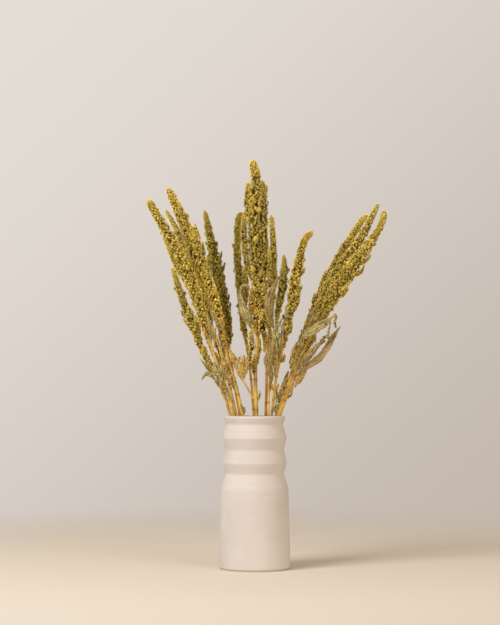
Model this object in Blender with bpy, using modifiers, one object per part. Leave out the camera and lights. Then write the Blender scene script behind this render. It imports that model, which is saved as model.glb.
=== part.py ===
"""A vase of dried amaranthus.

A turned, unglazed vase with two ridges under its lip holds thirteen cut stalks.
A stalk is a straw-coloured stem that stands on the vase's floor, leans on through
the neck and carries one head of packed florets. Dry curled leaves and small tufts
of florets sit on the stems.

Scene units are metres, +Z up. The origin is the centre of the vase's underside and
-Y is the front. Sizes and places below are in millimetres.
"""

import math
import random
from collections import namedtuple

import bmesh
import bpy
import numpy as np

MM = 0.001
GAP = 0.3

# The vase: radius and height of the outer side, from the lip down to the foot
VASE_SIDE = (
    (47.4, 240.8),
    (48.9, 239.4),
    (48.6, 237.6),
    (45.3, 228.8),
    (51.5, 207.4),
    (46.4, 188.2),
    (51.5, 167.4),
    (46.2, 148.6),
    (52.6, 130.0),
    (53.8, 125.0),
    (55.6, 60.0),
    (57.0, 3.0),
    (54.4, 0.8),
    (54.0, 0.0),
)
VASE_WALL = 4.5
VASE_FLOOR = 6.0
VASE_STEPS = 36

# The stems below the rim: the foot is the rim's point turned about the vase's axis
FOOT_TURN = math.radians(-90)
FOOT_SPREAD = 1.05
NECK_DROP = 20.0
STEM_SPACING = 38.0

# The relief of florets, as shares of a head's half width
HOLLOW = 0.78
CREST = 1.14
SLIVER = 0.003
FLORET_LIFT = 0.42
FLORET_SPREAD = 0.16
GOLDEN_ANGLE = math.radians(137.5)
SEED = "k"

# The leaves
BLADE = 0.8
LEAF_ROWS = 7
LEAF_COLUMNS = 4
LEAF_FOOT = 1.2
NARROW_LEAF = 7

Colour = namedtuple("Colour", "red green blue roughness")
COLOURS = {
    "vase": Colour(0.78, 0.68, 0.60, 0.85),
    "straw": Colour(0.60, 0.37, 0.10, 0.70),
    "russet": Colour(0.38, 0.16, 0.05, 0.70),
    "golden": Colour(0.42, 0.28, 0.05, 0.90),
    "olive": Colour(0.22, 0.17, 0.03, 0.90),
    "sage": Colour(0.40, 0.35, 0.18, 0.85),
    "tan": Colour(0.44, 0.30, 0.14, 0.85),
}

# Each stalk: its colours, the stem's width at foot and top, the line from rim to tip,
# the height where the head starts, its widths from there to the tip, and how many
# side spikes stand out of it
Stalk = namedtuple("Stalk", "stem head thickness line head_from widths spikes")
STALKS = {
    "01": Stalk(
        "straw", "golden", (4.6, 3.6),
        ((-32, -8, 242), (-44, -15, 284), (-62, -22, 332), (-77, -29, 378), (-91, -37, 423),
         (-104, -42, 454), (-124, -50, 506), (-138, -54, 531), (-152, -58, 557), (-167, -62, 582)),
        371, (13, 19, 23, 24, 21, 17, 13, 7), 4),
    "02": Stalk(
        "straw", "golden", (5.2, 4.2),
        ((-19, -18, 243), (-31, -18, 290), (-42, -18, 332), (-52, -18, 378), (-66, -18, 427),
         (-84, -18, 475), (-103, -19, 523), (-113, -20, 548), (-122, -20, 567), (-137, -20, 606)),
        385, (15, 23, 26, 26, 24, 19, 13, 7), 5),
    "03": Stalk(
        "straw", "golden", (4.0, 3.2),
        ((-31, 20, 244), (-46, 27, 292), (-56, 36, 349), (-68, 41, 384), (-86, 49, 439),
         (-106, 56, 488), (-126, 64, 536), (-136, 67, 558), (-146, 70, 580)),
        395, (10, 13, 15, 14, 12, 9, 3), 3),
    "04": Stalk(
        "straw", "olive", (4.6, 3.6),
        ((-24, 32, 242), (-34, 44, 300), (-42, 57, 356), (-44, 65, 395), (-52, 75, 442),
         (-62, 85, 489), (-73, 96, 538), (-83, 105, 582)),
        360, (13, 20, 22, 20, 18, 13, 3), 6),
    "05": Stalk(
        "straw", "golden", (4.0, 3.0),
        ((-39, 3, 242), (-56, 8, 290), (-70, 11, 314), (-88, 15, 356), (-99, 19, 385),
         (-110, 22, 413), (-121, 26, 447), (-132, 30, 480)),
        336, (8, 14, 18, 15, 12, 3), 4),
    "06": Stalk(
        "straw", "olive", (4.2, 3.2),
        ((-3, 22, 242), (-6, 27, 277), (-8, 31, 311), (-14, 37, 362), (-20, 41, 401),
         (-23, 47, 447), (-28, 53, 499), (-28, 58, 542), (-26, 61, 566), (-19, 62, 574)),
        356, (9, 12, 14, 13, 13, 12, 4), 3),
    "07": Stalk(
        "straw", "golden", (5.4, 4.6),
        ((3, -14, 244), (1, -14, 306), (4, -14, 363), (9, -14, 398), (8, -14, 443),
         (5, -15, 488), (2, -15, 542), (2, -15, 579), (0, -15, 616), (-3, -15, 650)),
        380, (14, 24, 28, 30, 30, 30, 29, 19, 10), 12),
    "08": Stalk(
        "russet", "golden", (4.2, 3.4),
        ((18, 32, 242), (20, 47, 333), (23, 55, 382), (28, 63, 434), (31, 71, 481),
         (31, 77, 518), (28, 85, 572)),
        384, (9, 13, 14, 12, 10, 4), 2),
    "09": Stalk(
        "straw", "olive", (4.0, 3.0),
        ((21, -30, 243), (24, -43, 315), (31, -52, 365), (36, -59, 406), (43, -66, 445),
         (46, -72, 477), (45, -75, 494)),
        396, (8, 11, 12, 10, 3), 1),
    "10": Stalk(
        "straw", "golden", (4.4, 3.4),
        ((27, -10, 246), (33, -26, 297), (43, -41, 345), (54, -58, 398), (60, -70, 437),
         (67, -84, 480), (74, -94, 510), (81, -98, 523), (90, -100, 528)),
        352, (7, 9, 15, 17, 17, 13, 3), 5),
    "11": Stalk(
        "straw", "golden", (4.8, 3.8),
        ((40, 5, 242), (57, 7, 292), (78, 10, 348), (96, 12, 401), (116, 14, 443),
         (138, 15, 480), (163, 17, 515), (180, 18, 543), (200, 20, 584)),
        398, (12, 18, 20, 17, 13, 3), 4),
    "12": Stalk(
        "straw", "golden", (5.4, 4.6),
        ((39, -13, 246), (60, -20, 299), (80, -26, 352), (105, -32, 396), (126, -37, 435),
         (144, -41, 462), (162, -45, 489), (183, -48, 516), (199, -52, 543), (204, -55, 568)),
        388, (14, 23, 26, 26, 19, 13, 4), 8),
    "13": Stalk(
        "straw", "golden", (4.6, 3.6),
        ((34, 20, 242), (54, 31, 295), (68, 39, 337), (82, 48, 381), (100, 57, 426),
         (121, 65, 469), (145, 74, 512), (163, 79, 541), (174, 84, 566), (186, 85, 572)),
        352, (7, 9, 15, 18, 16, 12, 4), 3),
}

# Side branches that grew with a head: the head, the line and the widths
Branch = namedtuple("Branch", "stalk line widths")
BRANCHES = (
    Branch("07", ((3, -15, 462), (-9, -16, 482), (-15, -17, 508), (-17, -17, 535), (-17, -17, 567)),
           (7, 10, 11, 10, 3)),
    Branch("07", ((9, -18, 386), (11, -24, 378), (13, -31, 388), (13, -34, 400), (13, -34, 411)),
           (7, 11, 13, 11, 4)),
    Branch("07", ((9, -14, 388), (14, -14, 378), (16, -15, 362), (15, -16, 344)),
           (7, 9, 7, 3)),
    Branch("13", ((74, 43, 368), (80, 40, 380), (83, 36, 396)), (5, 7, 3)),
    Branch("01", ((-112, -45, 458), (-125, -48, 482), (-136, -50, 506), (-145, -52, 526)), (7, 10, 9, 3)),
    Branch("02", ((-76, -22, 455), (-81, -24, 485), (-89, -24, 518), (-97, -24, 548)), (8, 13, 12, 5)),
    Branch("04", ((-53, 80, 455), (-48, 83, 480), (-49, 87, 508)), (6, 8, 3)),
    Branch("12", ((170, -44, 490), (181, -43, 500), (192, -42, 512)), (7, 7, 3)),
)

# Small tufts of florets on the stems: stalk, height, direction in plan, length, width
Tuft = namedtuple("Tuft", "stalk height bearing length width")
TUFTS = {
    "01": Tuft("07", 318, 200, 13, 8),
    "02": Tuft("07", 268, -20, 12, 7),
    "03": Tuft("10", 322, -30, 17, 8),
    "04": Tuft("10", 284, 180, 10, 7),
    "05": Tuft("12", 268, 0, 12, 7),
    "06": Tuft("13", 322, 150, 28, 11),
    "07": Tuft("13", 293, 200, 26, 11),
    "08": Tuft("02", 262, -10, 11, 7),
    "09": Tuft("01", 322, 60, 22, 8),
    "10": Tuft("02", 350, 260, 24, 9),
    "11": Tuft("13", 262, 190, 22, 9),
    "12": Tuft("03", 318, 120, 22, 9),
    "13": Tuft("13", 308, -20, 22, 9),
    "14": Tuft("02", 300, 190, 16, 7),
}

# One side shoot in the middle, which carries the crumpled leaves
TWIG_STALK = "07"
TWIG_HEIGHT = 268
TWIG_LINE = ((-10, -18, 284), (-19, -20, 299), (-27, -22, 310), (-30, -22, 318))
TWIG_WIDTH = 2.2

# Each leaf: its colour, what it grows from, the height and direction of its foot, the
# rib's line, the blade's widths, its turn about the rib at both ends in degrees, the
# depth of its trough and the height of its waves
Leaf = namedtuple("Leaf", "colour on height bearing rib widths turn trough wave")
LEAVES = {
    "curled_middle": Leaf(
        "sage", "07", 370, 200,
        ((-6, -25, 388), (-15, -32, 406), (-21, -33, 424), (-23, -32, 439), (-18, -30, 449),
         (-10, -29, 447), (-5, -28, 435)),
        (2, 10, 18, 17, 11, 8, 6, 3), (10, -20), 1.5, 1.2),
    "long_upper": Leaf(
        "sage", "09", 376, 215,
        ((26, -62, 390), (23, -68, 403), (22, -73, 418), (25, -77, 433), (31, -79, 446), (38, -80, 462)),
        (2, 9, 14, 15, 13, 9, 3), (15, -10), 1.5, 0.9),
    "long_lower": Leaf(
        "sage", "09", 288, -100,
        ((25, -48, 300), (25, -54, 315), (23, -58, 332), (22, -61, 348), (20, -62, 363)),
        (2, 10, 15, 16, 13, 4), (-30, 20), 2.0, 1.4),
    "crumpled_right": Leaf(
        "sage", "09", 344, -10,
        ((37, -55, 352), (38, -59, 362), (35, -62, 373), (31, -62, 380)),
        (2, 9, 11, 8, 3), (20, 60), 1.5, 1.6),
    "broad_right": Leaf(
        "sage", "12", 345, 235,
        ((72, -36, 358), (76, -42, 371), (86, -46, 382), (98, -49, 390), (110, -51, 395),
         (122, -52, 399), (131, -52, 405)),
        (2, 7, 11, 12, 11, 9, 6, 2), (30, -15), 1.5, 1.0),
    "cupped_right": Leaf(
        "tan", "12", 376, 200,
        ((88, -38, 388), (88, -43, 400), (94, -46, 409)),
        (2, 10, 12, 4), (20, -20), 2.5, 0.8),
    "slim_right": Leaf(
        "tan", "12", 302, -40,
        ((78, -34, 315), (93, -39, 323), (106, -41, 338), (118, -42, 354), (127, -42, 372), (136, -42, 385)),
        (2, 3, 7, 10, 11, 8, 2), (10, 25), 1.2, 0.5),
    "curled_right": Leaf(
        "tan", "12", 316, 250,
        ((73, -34, 325), (85, -42, 340), (97, -45, 353), (108, -46, 365), (113, -45, 373)),
        (2, 4, 9, 10, 7, 3), (15, -30), 1.6, 0.9),
    "hooked_left": Leaf(
        "sage", "05", 278, 238,
        ((-57, -2, 291), (-64, -6, 302), (-74, -8, 310), (-81, -7, 308), (-85, -6, 300)),
        (2, 4, 6, 6, 5, 2), (0, 30), 1.2, 0.6),
    "crumpled_left": Leaf(
        "sage", "01", 288, 210,
        ((-54, -25, 297), (-59, -30, 309), (-62, -31, 320), (-65, -31, 330)),
        (2, 11, 14, 11, 4), (30, -40), 2.0, 1.8),
    "thin_left": Leaf(
        "sage", "05", 310, 210,
        ((-75, 4, 317), (-81, 1, 326), (-88, 0, 334)),
        (2, 4, 4, 2), (0, 20), 0.8, 0.3),
    "rolled_centre_left": Leaf(
        "tan", "twig", 0, 0,
        ((-33, -25, 330), (-37, -27, 341), (-41, -27, 353)),
        (2, 8, 8, 3), (30, -30), 2.0, 1.2),
    "crumpled_centre": Leaf(
        "tan", "twig", 0, 1,
        ((-23, -28, 330), (-16, -30, 338), (-10, -30, 333), (-10, -29, 319), (-15, -28, 305)),
        (2, 10, 15, 16, 13, 4), (30, -30), 2.0, 2.0),
    "strap_left": Leaf(
        "sage", "01", 355, -40,
        ((-70, -41, 380), (-73, -48, 395), (-75, -51, 413)),
        (2, 4, 5, 3), (10, -20), 0.8, 0.4),
    "strand_left": Leaf(
        "sage", "02", 371, 250,
        ((-58, -33, 392), (-64, -37, 404), (-66, -38, 413)),
        (2, 3, 4, 2), (0, 40), 0.6, 0.4),
}


def clear_scene():
    """Remove every object, so that the script can be run again."""
    for thing in list(bpy.data.objects):
        bpy.data.objects.remove(thing, do_unlink=True)


def new_collection(name):
    group = bpy.data.collections.new(name)
    bpy.context.scene.collection.children.link(group)
    return group


def finish_of(name):
    """One Principled material for each named colour."""
    if name in bpy.data.materials:
        return bpy.data.materials[name]
    colour = COLOURS[name]
    material = bpy.data.materials.new(name)
    material.use_nodes = True
    shader = material.node_tree.nodes["Principled BSDF"]
    shader.inputs["Base Color"].default_value = (colour.red, colour.green, colour.blue, 1.0)
    shader.inputs["Roughness"].default_value = colour.roughness
    shader.inputs["Metallic"].default_value = 0.0
    return material


def smooth_line(points, steps=20):
    """A smooth line through the points, each bit a cubic set by its four neighbours."""
    points = np.asarray(points, float)
    points = np.vstack([2 * points[0] - points[1], points, 2 * points[-1] - points[-2]])
    share = np.linspace(0, 1, steps, endpoint=False)[:, None]
    pieces = []
    for first in range(len(points) - 3):
        a, b, c, d = points[first:first + 4]
        bend = 2 * a - 5 * b + 4 * c - d
        twist = 3 * b - 3 * c + d - a
        pieces.append(0.5 * (2 * b + (c - a) * share + bend * share ** 2 + twist * share ** 3))
    return np.vstack(pieces + [points[-2:-1]])


def lengths_along(line):
    steps = np.linalg.norm(np.diff(line, axis=0), axis=1)
    return np.concatenate([[0.0], np.cumsum(steps)])


def stations(line, start, end, count):
    """Evenly spaced points of the line between two distances along it."""
    distance = lengths_along(line)
    wanted = np.linspace(start, end, count)
    return np.column_stack([np.interp(wanted, distance, line[:, axis]) for axis in range(3)])


def stalk_line(stalk):
    """The stalk's whole line: foot on the vase's floor, neck, rim, tip."""
    rim = np.array(stalk.line[0], float)
    lean = np.array(stalk.line[1], float) - rim
    lean = lean / lean[2]
    neck = rim - lean * NECK_DROP
    cosine = math.cos(FOOT_TURN) * FOOT_SPREAD
    sine = math.sin(FOOT_TURN) * FOOT_SPREAD
    foot_x = cosine * rim[0] - sine * rim[1]
    foot_y = sine * rim[0] + cosine * rim[1]
    slope = math.hypot(foot_x - neck[0], foot_y - neck[1]) / (neck[2] - VASE_FLOOR)
    foot = np.array([foot_x, foot_y, VASE_FLOOR + GAP + slope * stalk.thickness[0] / 2])
    return smooth_line([foot, (foot + neck) / 2, neck] + list(stalk.line))


def distance_at_height(line, height):
    above = int(np.argmax(line[:, 2] >= height))
    share = (height - line[above - 1, 2]) / (line[above, 2] - line[above - 1, 2])
    distance = lengths_along(line)
    return distance[above - 1] + share * (distance[above] - distance[above - 1])


def stem_points(stalk):
    """The corners of the stem's line, from the vase's floor to just under its head."""
    line = stalk_line(stalk)
    end = distance_at_height(line, stalk.head_from) - GAP - 0.1
    count = int(round(end / STEM_SPACING)) + 1
    return stations(line, 0, end, count)


def stem_seat(stalk, height, bearing, reach):
    """A point beside a stem, which way is out there, and which way the stem runs."""
    points = stem_points(stalk)
    middle = distance_at_height(points, height)
    centre, ahead = stations(points, middle, middle + 2, 2)
    along = (ahead - centre) / np.linalg.norm(ahead - centre)
    out = np.array([math.cos(math.radians(bearing)), math.sin(math.radians(bearing)), 0.0])
    out = out - along * out.dot(along)
    out = out / np.linalg.norm(out)
    share = middle / lengths_along(points)[-1]
    radius = np.interp(share, (0, 1), stalk.thickness) / 2
    return centre + out * (radius + reach), out, along


def tube(name, points, widths, group, material, sides):
    """A curve object through the points, as wide at each as its width says."""
    curve = bpy.data.curves.new(name, "CURVE")
    curve.dimensions = "3D"
    curve.bevel_depth = MM
    curve.bevel_resolution = (sides - 4) // 2
    curve.use_fill_caps = True
    spline = curve.splines.new("POLY")
    spline.points.add(len(points) - 1)
    for knot, point, width in zip(spline.points, points, widths):
        knot.co = (*(MM * point), 1.0)
        knot.radius = width / 2
    curve.materials.append(finish_of(material))
    thing = bpy.data.objects.new(name, curve)
    group.objects.link(thing)
    return thing


def as_mesh(thing):
    """Turn a curve object into a mesh object of the same name."""
    graph = bpy.context.evaluated_depsgraph_get()
    mesh = bpy.data.meshes.new_from_object(thing.evaluated_get(graph))
    name = thing.name
    group = thing.users_collection[0]
    place = thing.matrix_world.copy()
    bpy.data.objects.remove(thing, do_unlink=True)
    solid = bpy.data.objects.new(name, mesh)
    solid.matrix_world = place
    group.objects.link(solid)
    return solid


def weld(mesh):
    shape = bmesh.new()
    shape.from_mesh(mesh)
    bmesh.ops.remove_doubles(shape, verts=shape.verts, dist=0.00001)
    bmesh.ops.recalc_face_normals(shape, faces=shape.faces)
    shape.to_mesh(mesh)
    shape.free()


def raise_florets(solid, points, widths, sides, draw):
    """Raise every second corner of every ring, by turns, outwards and towards the tip.

    A tube's mesh lists its two caps first and then its rings, from the first point on.
    The corners left between the raised ones stay low, so the surface is all points.
    """
    mesh = solid.data
    corners = np.empty(len(mesh.vertices) * 3)
    mesh.vertices.foreach_get("co", corners)
    corners = corners.reshape(-1, 3)
    rings = corners[2 * sides:].reshape(len(points), sides, 3)
    centres = MM * points
    out = rings - centres[:, None, :]
    ring, side = np.indices((len(points), sides))
    raised = (ring + side) % 2 == 0
    inner = (ring > 0) & (ring < len(points) - 1)
    spread = 1 + FLORET_SPREAD * np.array([draw.uniform(-1, 1) for _ in range(ring.size)])
    reach = np.where(raised, CREST * spread.reshape(ring.shape), HOLLOW)
    reach = np.where(inner, reach, 1.0)
    ahead = np.gradient(centres, axis=0)
    lift = np.where(raised & inner, FLORET_LIFT, 0.0)
    taper = np.minimum(1.0, widths / widths.max() + 0.3)[:, None]
    rings[:] = centres[:, None, :] + out * reach[:, :, None]
    rings[:] += ahead[:, None, :] * (lift * taper)[:, :, None]
    mesh.vertices.foreach_set("co", corners.ravel())
    weld(mesh)


def floret_spike(name, points, widths, group, material, sides, draw):
    """A solid spike of florets along the points."""
    points = np.asarray(points)
    widths = np.asarray(widths, float)
    solid = as_mesh(tube(name, points, widths, group, material, sides))
    raise_florets(solid, points, widths, sides, draw)
    return solid


def side_spike(name, base, out, along, length, width, group, material, draw):
    """A short spike that leaves its core at an angle and bends towards the tip."""
    middle = base + (out * 0.75 + along * 0.66) * length * 0.5
    top = middle + (out * 0.42 + along * 0.9) * length * 0.5
    line = smooth_line([base, middle, top], 6)
    points = stations(line, 0, lengths_along(line)[-1], 4)
    widths = width * np.array([0.8, 1.0, 0.8, 0.25])
    return floret_spike(name, points, widths, group, material, 6, draw)


def head(number, stalk, group, spikes_group):
    """The core spike of a head, with its side spikes and branches joined to it."""
    draw = random.Random(SEED + "head" + number)
    line = stalk_line(stalk)
    start = distance_at_height(line, stalk.head_from)
    end = lengths_along(line)[-1]
    broad = max(stalk.widths)
    sides = 6 if broad < 20 else 8
    spacing = 4.7 + 0.13 * broad
    count = int(round((end - start) / spacing)) + 1
    points = stations(line, start, end, count)
    share = np.linspace(0, 1, count)
    widths = np.interp(share, np.linspace(0, 1, len(stalk.widths)), stalk.widths)
    core = floret_spike("head_" + number, points, widths, group, stalk.head, sides, draw)
    across = np.array([0.0, 1.0, 0.0])
    for turn in range(stalk.spikes):
        place = 0.1 + 0.68 * (turn + 0.5) / stalk.spikes
        middle = start + place * (end - start)
        centre, ahead = stations(line, middle, middle + 2, 2)
        along = (ahead - centre) / np.linalg.norm(ahead - centre)
        right = np.cross(across, along)
        right = right / np.linalg.norm(right)
        front = np.cross(along, right)
        angle = GOLDEN_ANGLE * turn + 0.6
        out = math.cos(angle) * right + math.sin(angle) * front
        width = np.interp(place, share, widths)
        length = (0.55 * width + 5) * draw.uniform(0.85, 1.15)
        base = centre + out * width * 0.22
        spike_name = "spike_" + number + "_" + str(turn)
        side_spike(spike_name, base, out, along, length, 0.24 * width + 3,
                   spikes_group, stalk.head, draw)
    for branch in BRANCHES:
        if branch.stalk != number:
            continue
        branch_line = smooth_line(branch.line, 8)
        reach = lengths_along(branch_line)[-1]
        count = int(round(reach / 5.2)) + 1
        widths = np.interp(np.linspace(0, 1, count), np.linspace(0, 1, len(branch.widths)), branch.widths)
        floret_spike("branch_" + number, stations(branch_line, 0, reach, count), widths,
                     spikes_group, stalk.head, 6, draw)
    join_collection(core, spikes_group)
    return core


def join_collection(solid, collection):
    """Join everything in the collection to the solid, then remove it."""
    if not collection.objects:
        return
    union = solid.modifiers.new("join", "BOOLEAN")
    union.operation = "UNION"
    union.operand_type = "COLLECTION"
    union.collection = collection
    union.solver = "MANIFOLD"
    graph = bpy.context.evaluated_depsgraph_get()
    joined = bpy.data.meshes.new_from_object(solid.evaluated_get(graph))
    solid.modifiers.clear()
    keep_outer_shell(joined)
    solid.data = joined
    for thing in list(collection.objects):
        bpy.data.objects.remove(thing, do_unlink=True)


def keep_outer_shell(mesh):
    """Keep the largest shell, which fills any hollow that joining has sealed."""
    shape = bmesh.new()
    shape.from_mesh(mesh)
    bmesh.ops.triangulate(shape, faces=shape.faces)
    bmesh.ops.remove_doubles(shape, verts=shape.verts, dist=SLIVER * MM)
    waiting = set(shape.faces)
    shells = []
    while waiting:
        front = [waiting.pop()]
        shell = list(front)
        while front:
            face = front.pop()
            for edge in face.edges:
                if len(edge.link_faces) > 2:
                    continue
                for other in edge.link_faces:
                    if other in waiting:
                        waiting.remove(other)
                        front.append(other)
                        shell.append(other)
        shells.append(shell)
    shells.sort(key=len)
    for shell in shells[:-1]:
        bmesh.ops.delete(shape, geom=shell, context="FACES")
    shape.to_mesh(mesh)
    shape.free()


def stem(number, stalk, group):
    """The stem, a little thinner at its head than at its foot."""
    points = stem_points(stalk)
    widths = np.linspace(stalk.thickness[0], stalk.thickness[1], len(points))
    return tube("stem_" + number, points, widths, group, stalk.stem, 6)


def tuft(number, shape, group):
    """A small tuft of florets that stands beside a stem."""
    draw = random.Random(SEED + "tuft" + number)
    foot_width = 2.4
    stalk = STALKS[shape.stalk]
    base, out, along = stem_seat(stalk, shape.height, shape.bearing, GAP + foot_width / 2)
    tip = base + (out * 0.42 + along * 0.9) * shape.length
    middle = (base + tip) / 2 + out * shape.width * 0.3
    line = smooth_line([base, middle, tip], 6)
    count = int(round(shape.length / 5)) + 2
    widths = np.interp(np.linspace(0, 1, count), (0, 0.4, 0.7, 1), (foot_width, shape.width, shape.width, 1.5))
    points = stations(line, 0, lengths_along(line)[-1], count)
    return floret_spike("tuft_" + number, points, widths, group, stalk.head, 6, draw)


def twig(group):
    """The side shoot, from the stem's side to the leaves at its end."""
    base, _, _ = stem_seat(STALKS[TWIG_STALK], TWIG_HEIGHT, 195, GAP + TWIG_WIDTH / 2)
    line = smooth_line([base] + [np.array(point, float) for point in TWIG_LINE], 8)
    points = stations(line, 0, lengths_along(line)[-1], 7)
    return tube("twig_01", points, [TWIG_WIDTH] * len(points), group, "straw", 6)


def leaf_foot(shape):
    """Where the rib starts: beside its stem, or beside the end of the twig."""
    if shape.on != "twig":
        base, _, _ = stem_seat(STALKS[shape.on], shape.height, shape.bearing, GAP + 0.6)
        return base
    end = np.array(TWIG_LINE[-1], float)
    side = 1 if shape.bearing else -1
    return end + np.array([side * (TWIG_WIDTH / 2 + GAP + 0.7), 0.0, -1.0])


def leaf(name, shape, group):
    """A dry blade: a sheet laid out along its rib, troughed and waved, then thickened.

    Across the rib the blade sinks as the square of the distance from the rib. Its edges
    wave three and a half times along the blade, the two sides out of step.
    """
    sheet = bmesh.new()
    columns = 2 if max(shape.widths) < NARROW_LEAF else LEAF_COLUMNS
    bmesh.ops.create_grid(sheet, x_segments=LEAF_ROWS, y_segments=columns, size=1.0)
    line = smooth_line([leaf_foot(shape)] + [np.array(point, float) for point in shape.rib], 12)
    total = lengths_along(line)[-1]
    for corner in sheet.verts:
        share = (corner.co.x + 1) / 2
        side = corner.co.y
        here = min(share, 0.995) * total
        centre, ahead = stations(line, here, here + 0.004 * total, 2)
        along = (ahead - centre) / np.linalg.norm(ahead - centre)
        if share == 1.0:
            centre = ahead
        front = np.array([0.0, -1.0, 0.0])
        across = np.cross(along, front)
        across = across / np.linalg.norm(across)
        face = np.cross(across, along)
        angle = math.radians(np.interp(share, (0, 1), shape.turn))
        width_way = math.cos(angle) * across + math.sin(angle) * face
        face_way = math.cos(angle) * face - math.sin(angle) * across
        width = np.interp(share, np.linspace(0, 1, len(shape.widths)), (LEAF_FOOT,) + shape.widths[1:])
        fade = math.sin(math.pi * share) ** 0.5 if 0 < share < 1 else 0.0
        wave = shape.wave * math.sin(22 * share + 1.3 * side) * abs(side)
        sink = shape.trough * side ** 2
        spot = centre + width_way * side * width / 2 + face_way * (wave - sink) * fade
        corner.co = MM * spot
    bmesh.ops.triangulate(sheet, faces=sheet.faces)
    mesh = bpy.data.meshes.new("leaf_" + name)
    sheet.to_mesh(mesh)
    sheet.free()
    mesh.materials.append(finish_of(shape.colour))
    blade = bpy.data.objects.new("leaf_" + name, mesh)
    group.objects.link(blade)
    thick = blade.modifiers.new("thickness", "SOLIDIFY")
    thick.thickness = BLADE * MM
    thick.offset = 0.0
    return blade


def vase_outline():
    """The outer side from the lip down to the foot, then the underside's centre.

    The inside comes before it, from the floor's centre up to the lip, one wall inwards.
    """
    crests = [VASE_SIDE[index] for index in (0, 3, 4, 5, 6, 7, 8, 10)]
    inside = [(radius - VASE_WALL, height) for radius, height in crests]
    inside.append((VASE_SIDE[11][0] - VASE_WALL, VASE_FLOOR + 5))
    inside.append((VASE_SIDE[11][0] - VASE_WALL - 5, VASE_FLOOR))
    inside.append((0.0, VASE_FLOOR))
    return inside[::-1] + list(VASE_SIDE) + [(0.0, 0.0)]


def vase(group):
    """The turned vessel: its wall's outline screwed once about the axis."""
    outline = vase_outline()
    corners = [(MM * radius, 0.0, MM * height) for radius, height in outline]
    edges = [(index, index + 1) for index in range(len(outline) - 1)]
    mesh = bpy.data.meshes.new("vase")
    mesh.from_pydata(corners, edges, [])
    mesh.materials.append(finish_of("vase"))
    vessel = bpy.data.objects.new("vase", mesh)
    group.objects.link(vessel)
    turn = vessel.modifiers.new("turn", "SCREW")
    turn.axis = "Z"
    turn.angle = 2 * math.pi
    turn.steps = VASE_STEPS
    turn.render_steps = VASE_STEPS
    turn.use_merge_vertices = True
    turn.merge_threshold = 0.00001
    turn.use_smooth_shade = True
    return vessel


def build():
    clear_scene()
    group = new_collection("vase of dried amaranthus")
    spikes_group = new_collection("spikes")
    vase(group)
    for number, stalk in STALKS.items():
        stem(number, stalk, group)
        head(number, stalk, group, spikes_group)
    for number, shape in TUFTS.items():
        tuft(number, shape, group)
    twig(group)
    for name, shape in LEAVES.items():
        leaf(name, shape, group)


build()
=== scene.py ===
"""The vase of dried amaranthus as it looks: clay, straw stems, packed florets and dry leaves.

Every shape is worked out with numpy as whole arrays. Lines, sizes and places are in
millimetres and are turned into metres when a mesh is written. They are those of the part's
source, some of them refined by a few millimetres, with small branches, strips and scraps
added. The front is -Y and the origin is the centre of the vase's underside.
"""

import math
import random
from collections import namedtuple

import bpy
import numpy as np
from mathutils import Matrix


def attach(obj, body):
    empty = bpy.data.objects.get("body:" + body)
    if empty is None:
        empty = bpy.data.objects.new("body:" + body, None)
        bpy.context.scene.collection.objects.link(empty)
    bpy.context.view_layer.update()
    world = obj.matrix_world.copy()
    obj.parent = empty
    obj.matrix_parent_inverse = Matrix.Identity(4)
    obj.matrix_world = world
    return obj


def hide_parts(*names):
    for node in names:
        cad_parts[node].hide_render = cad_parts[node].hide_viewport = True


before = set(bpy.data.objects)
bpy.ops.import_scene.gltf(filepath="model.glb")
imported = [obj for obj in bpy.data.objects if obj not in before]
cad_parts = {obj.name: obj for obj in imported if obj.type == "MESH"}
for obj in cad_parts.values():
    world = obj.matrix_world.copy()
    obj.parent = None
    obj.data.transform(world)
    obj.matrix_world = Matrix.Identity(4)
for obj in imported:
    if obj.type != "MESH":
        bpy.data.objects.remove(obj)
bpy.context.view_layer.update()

MM = 0.001
GAP = 0.3
BODY = "root"
GOLDEN_ANGLE = math.radians(137.5)

# The camera of the photograph: its place in metres, its focal length and its tilt upwards
# in pixels, and the nearest and furthest it sees
CAMERA_PLACE = (-0.0075, -2.720, 0.287)
FOCAL_PIXELS = 1700.0
CAMERA_RISE_PIXELS = 75.5
PICTURE_HEIGHT = 625
SENSOR = 36.0
CAMERA_CLIP = (0.05, 60.0)

# The light from all round, and its share that comes from below
WORLD_LIGHT = 0.50
LIGHT_FROM_BELOW = 0.55
WORLD_COLOUR = (255, 238, 220)
# What shows behind the object, from low on the right to high on the left, with painted
# light that is brighter high on the left and painted shade low on the right
BACKDROP_COLOURS = ((196, 184, 174), (228, 221, 214))
# Each lamp: its place, its size, its power in watts and its colour. All face one point
LAMPS = {
    "key": ((-1.5, -1.5, 1.9), 1.2, 60.5, (248, 249, 255)),
    "front_fill": ((1.5, -2.2, 0.9), 1.6, 25.0, (255, 244, 234)),
}
LAMP_TARGET = (0.0, 0.0, 0.32)

# The floor: its innermost and outermost ring and where it starts and ends to fade, in metres
FLOOR_RADII = (0.02, 1.6)
FLOOR_RINGS = 12
FLOOR_SIDES = 64
FLOOR_FADE = (0.35, 1.5)
FLOOR_COLOUR = (222, 213, 195)

# The clay's darker and lighter patches, its specks, and its least and greatest roughness
CLAY_COLOURS = ((201, 193, 184), (210, 202, 193))
SPECK_COLOUR = (184, 164, 142)
CLAY_ROUGHNESS = (0.78, 0.90)

# A kind of material: the ending of its name, the name of its corner values, its group's
# colours, its roughness and shine, and its bumps' strength and height in metres
Kind = namedtuple("Kind", "ending values colours roughness specular strength height")
# The florets' recess colour is painted shade at their bases and in the hollows between them, and their pale
# colour is a painted highlight at their tips
FLORETS = Kind("florets", "floret", ("Recess_shade", "Olive", "Gold", "Orange", "Pale_highlight"), 0.85, 0.15, 0.5, 0.0003)
FIBRE = Kind("fibre", "fibre", ("Straw", "Deep", "Knot"), 0.55, 0.4, 0.4, 0.0002)
BLADE = Kind("blade", "blade", ("Body", "Shade", "Vein", "Burn"), 0.75, 0.3, 0.8, 0.0008)
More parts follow.
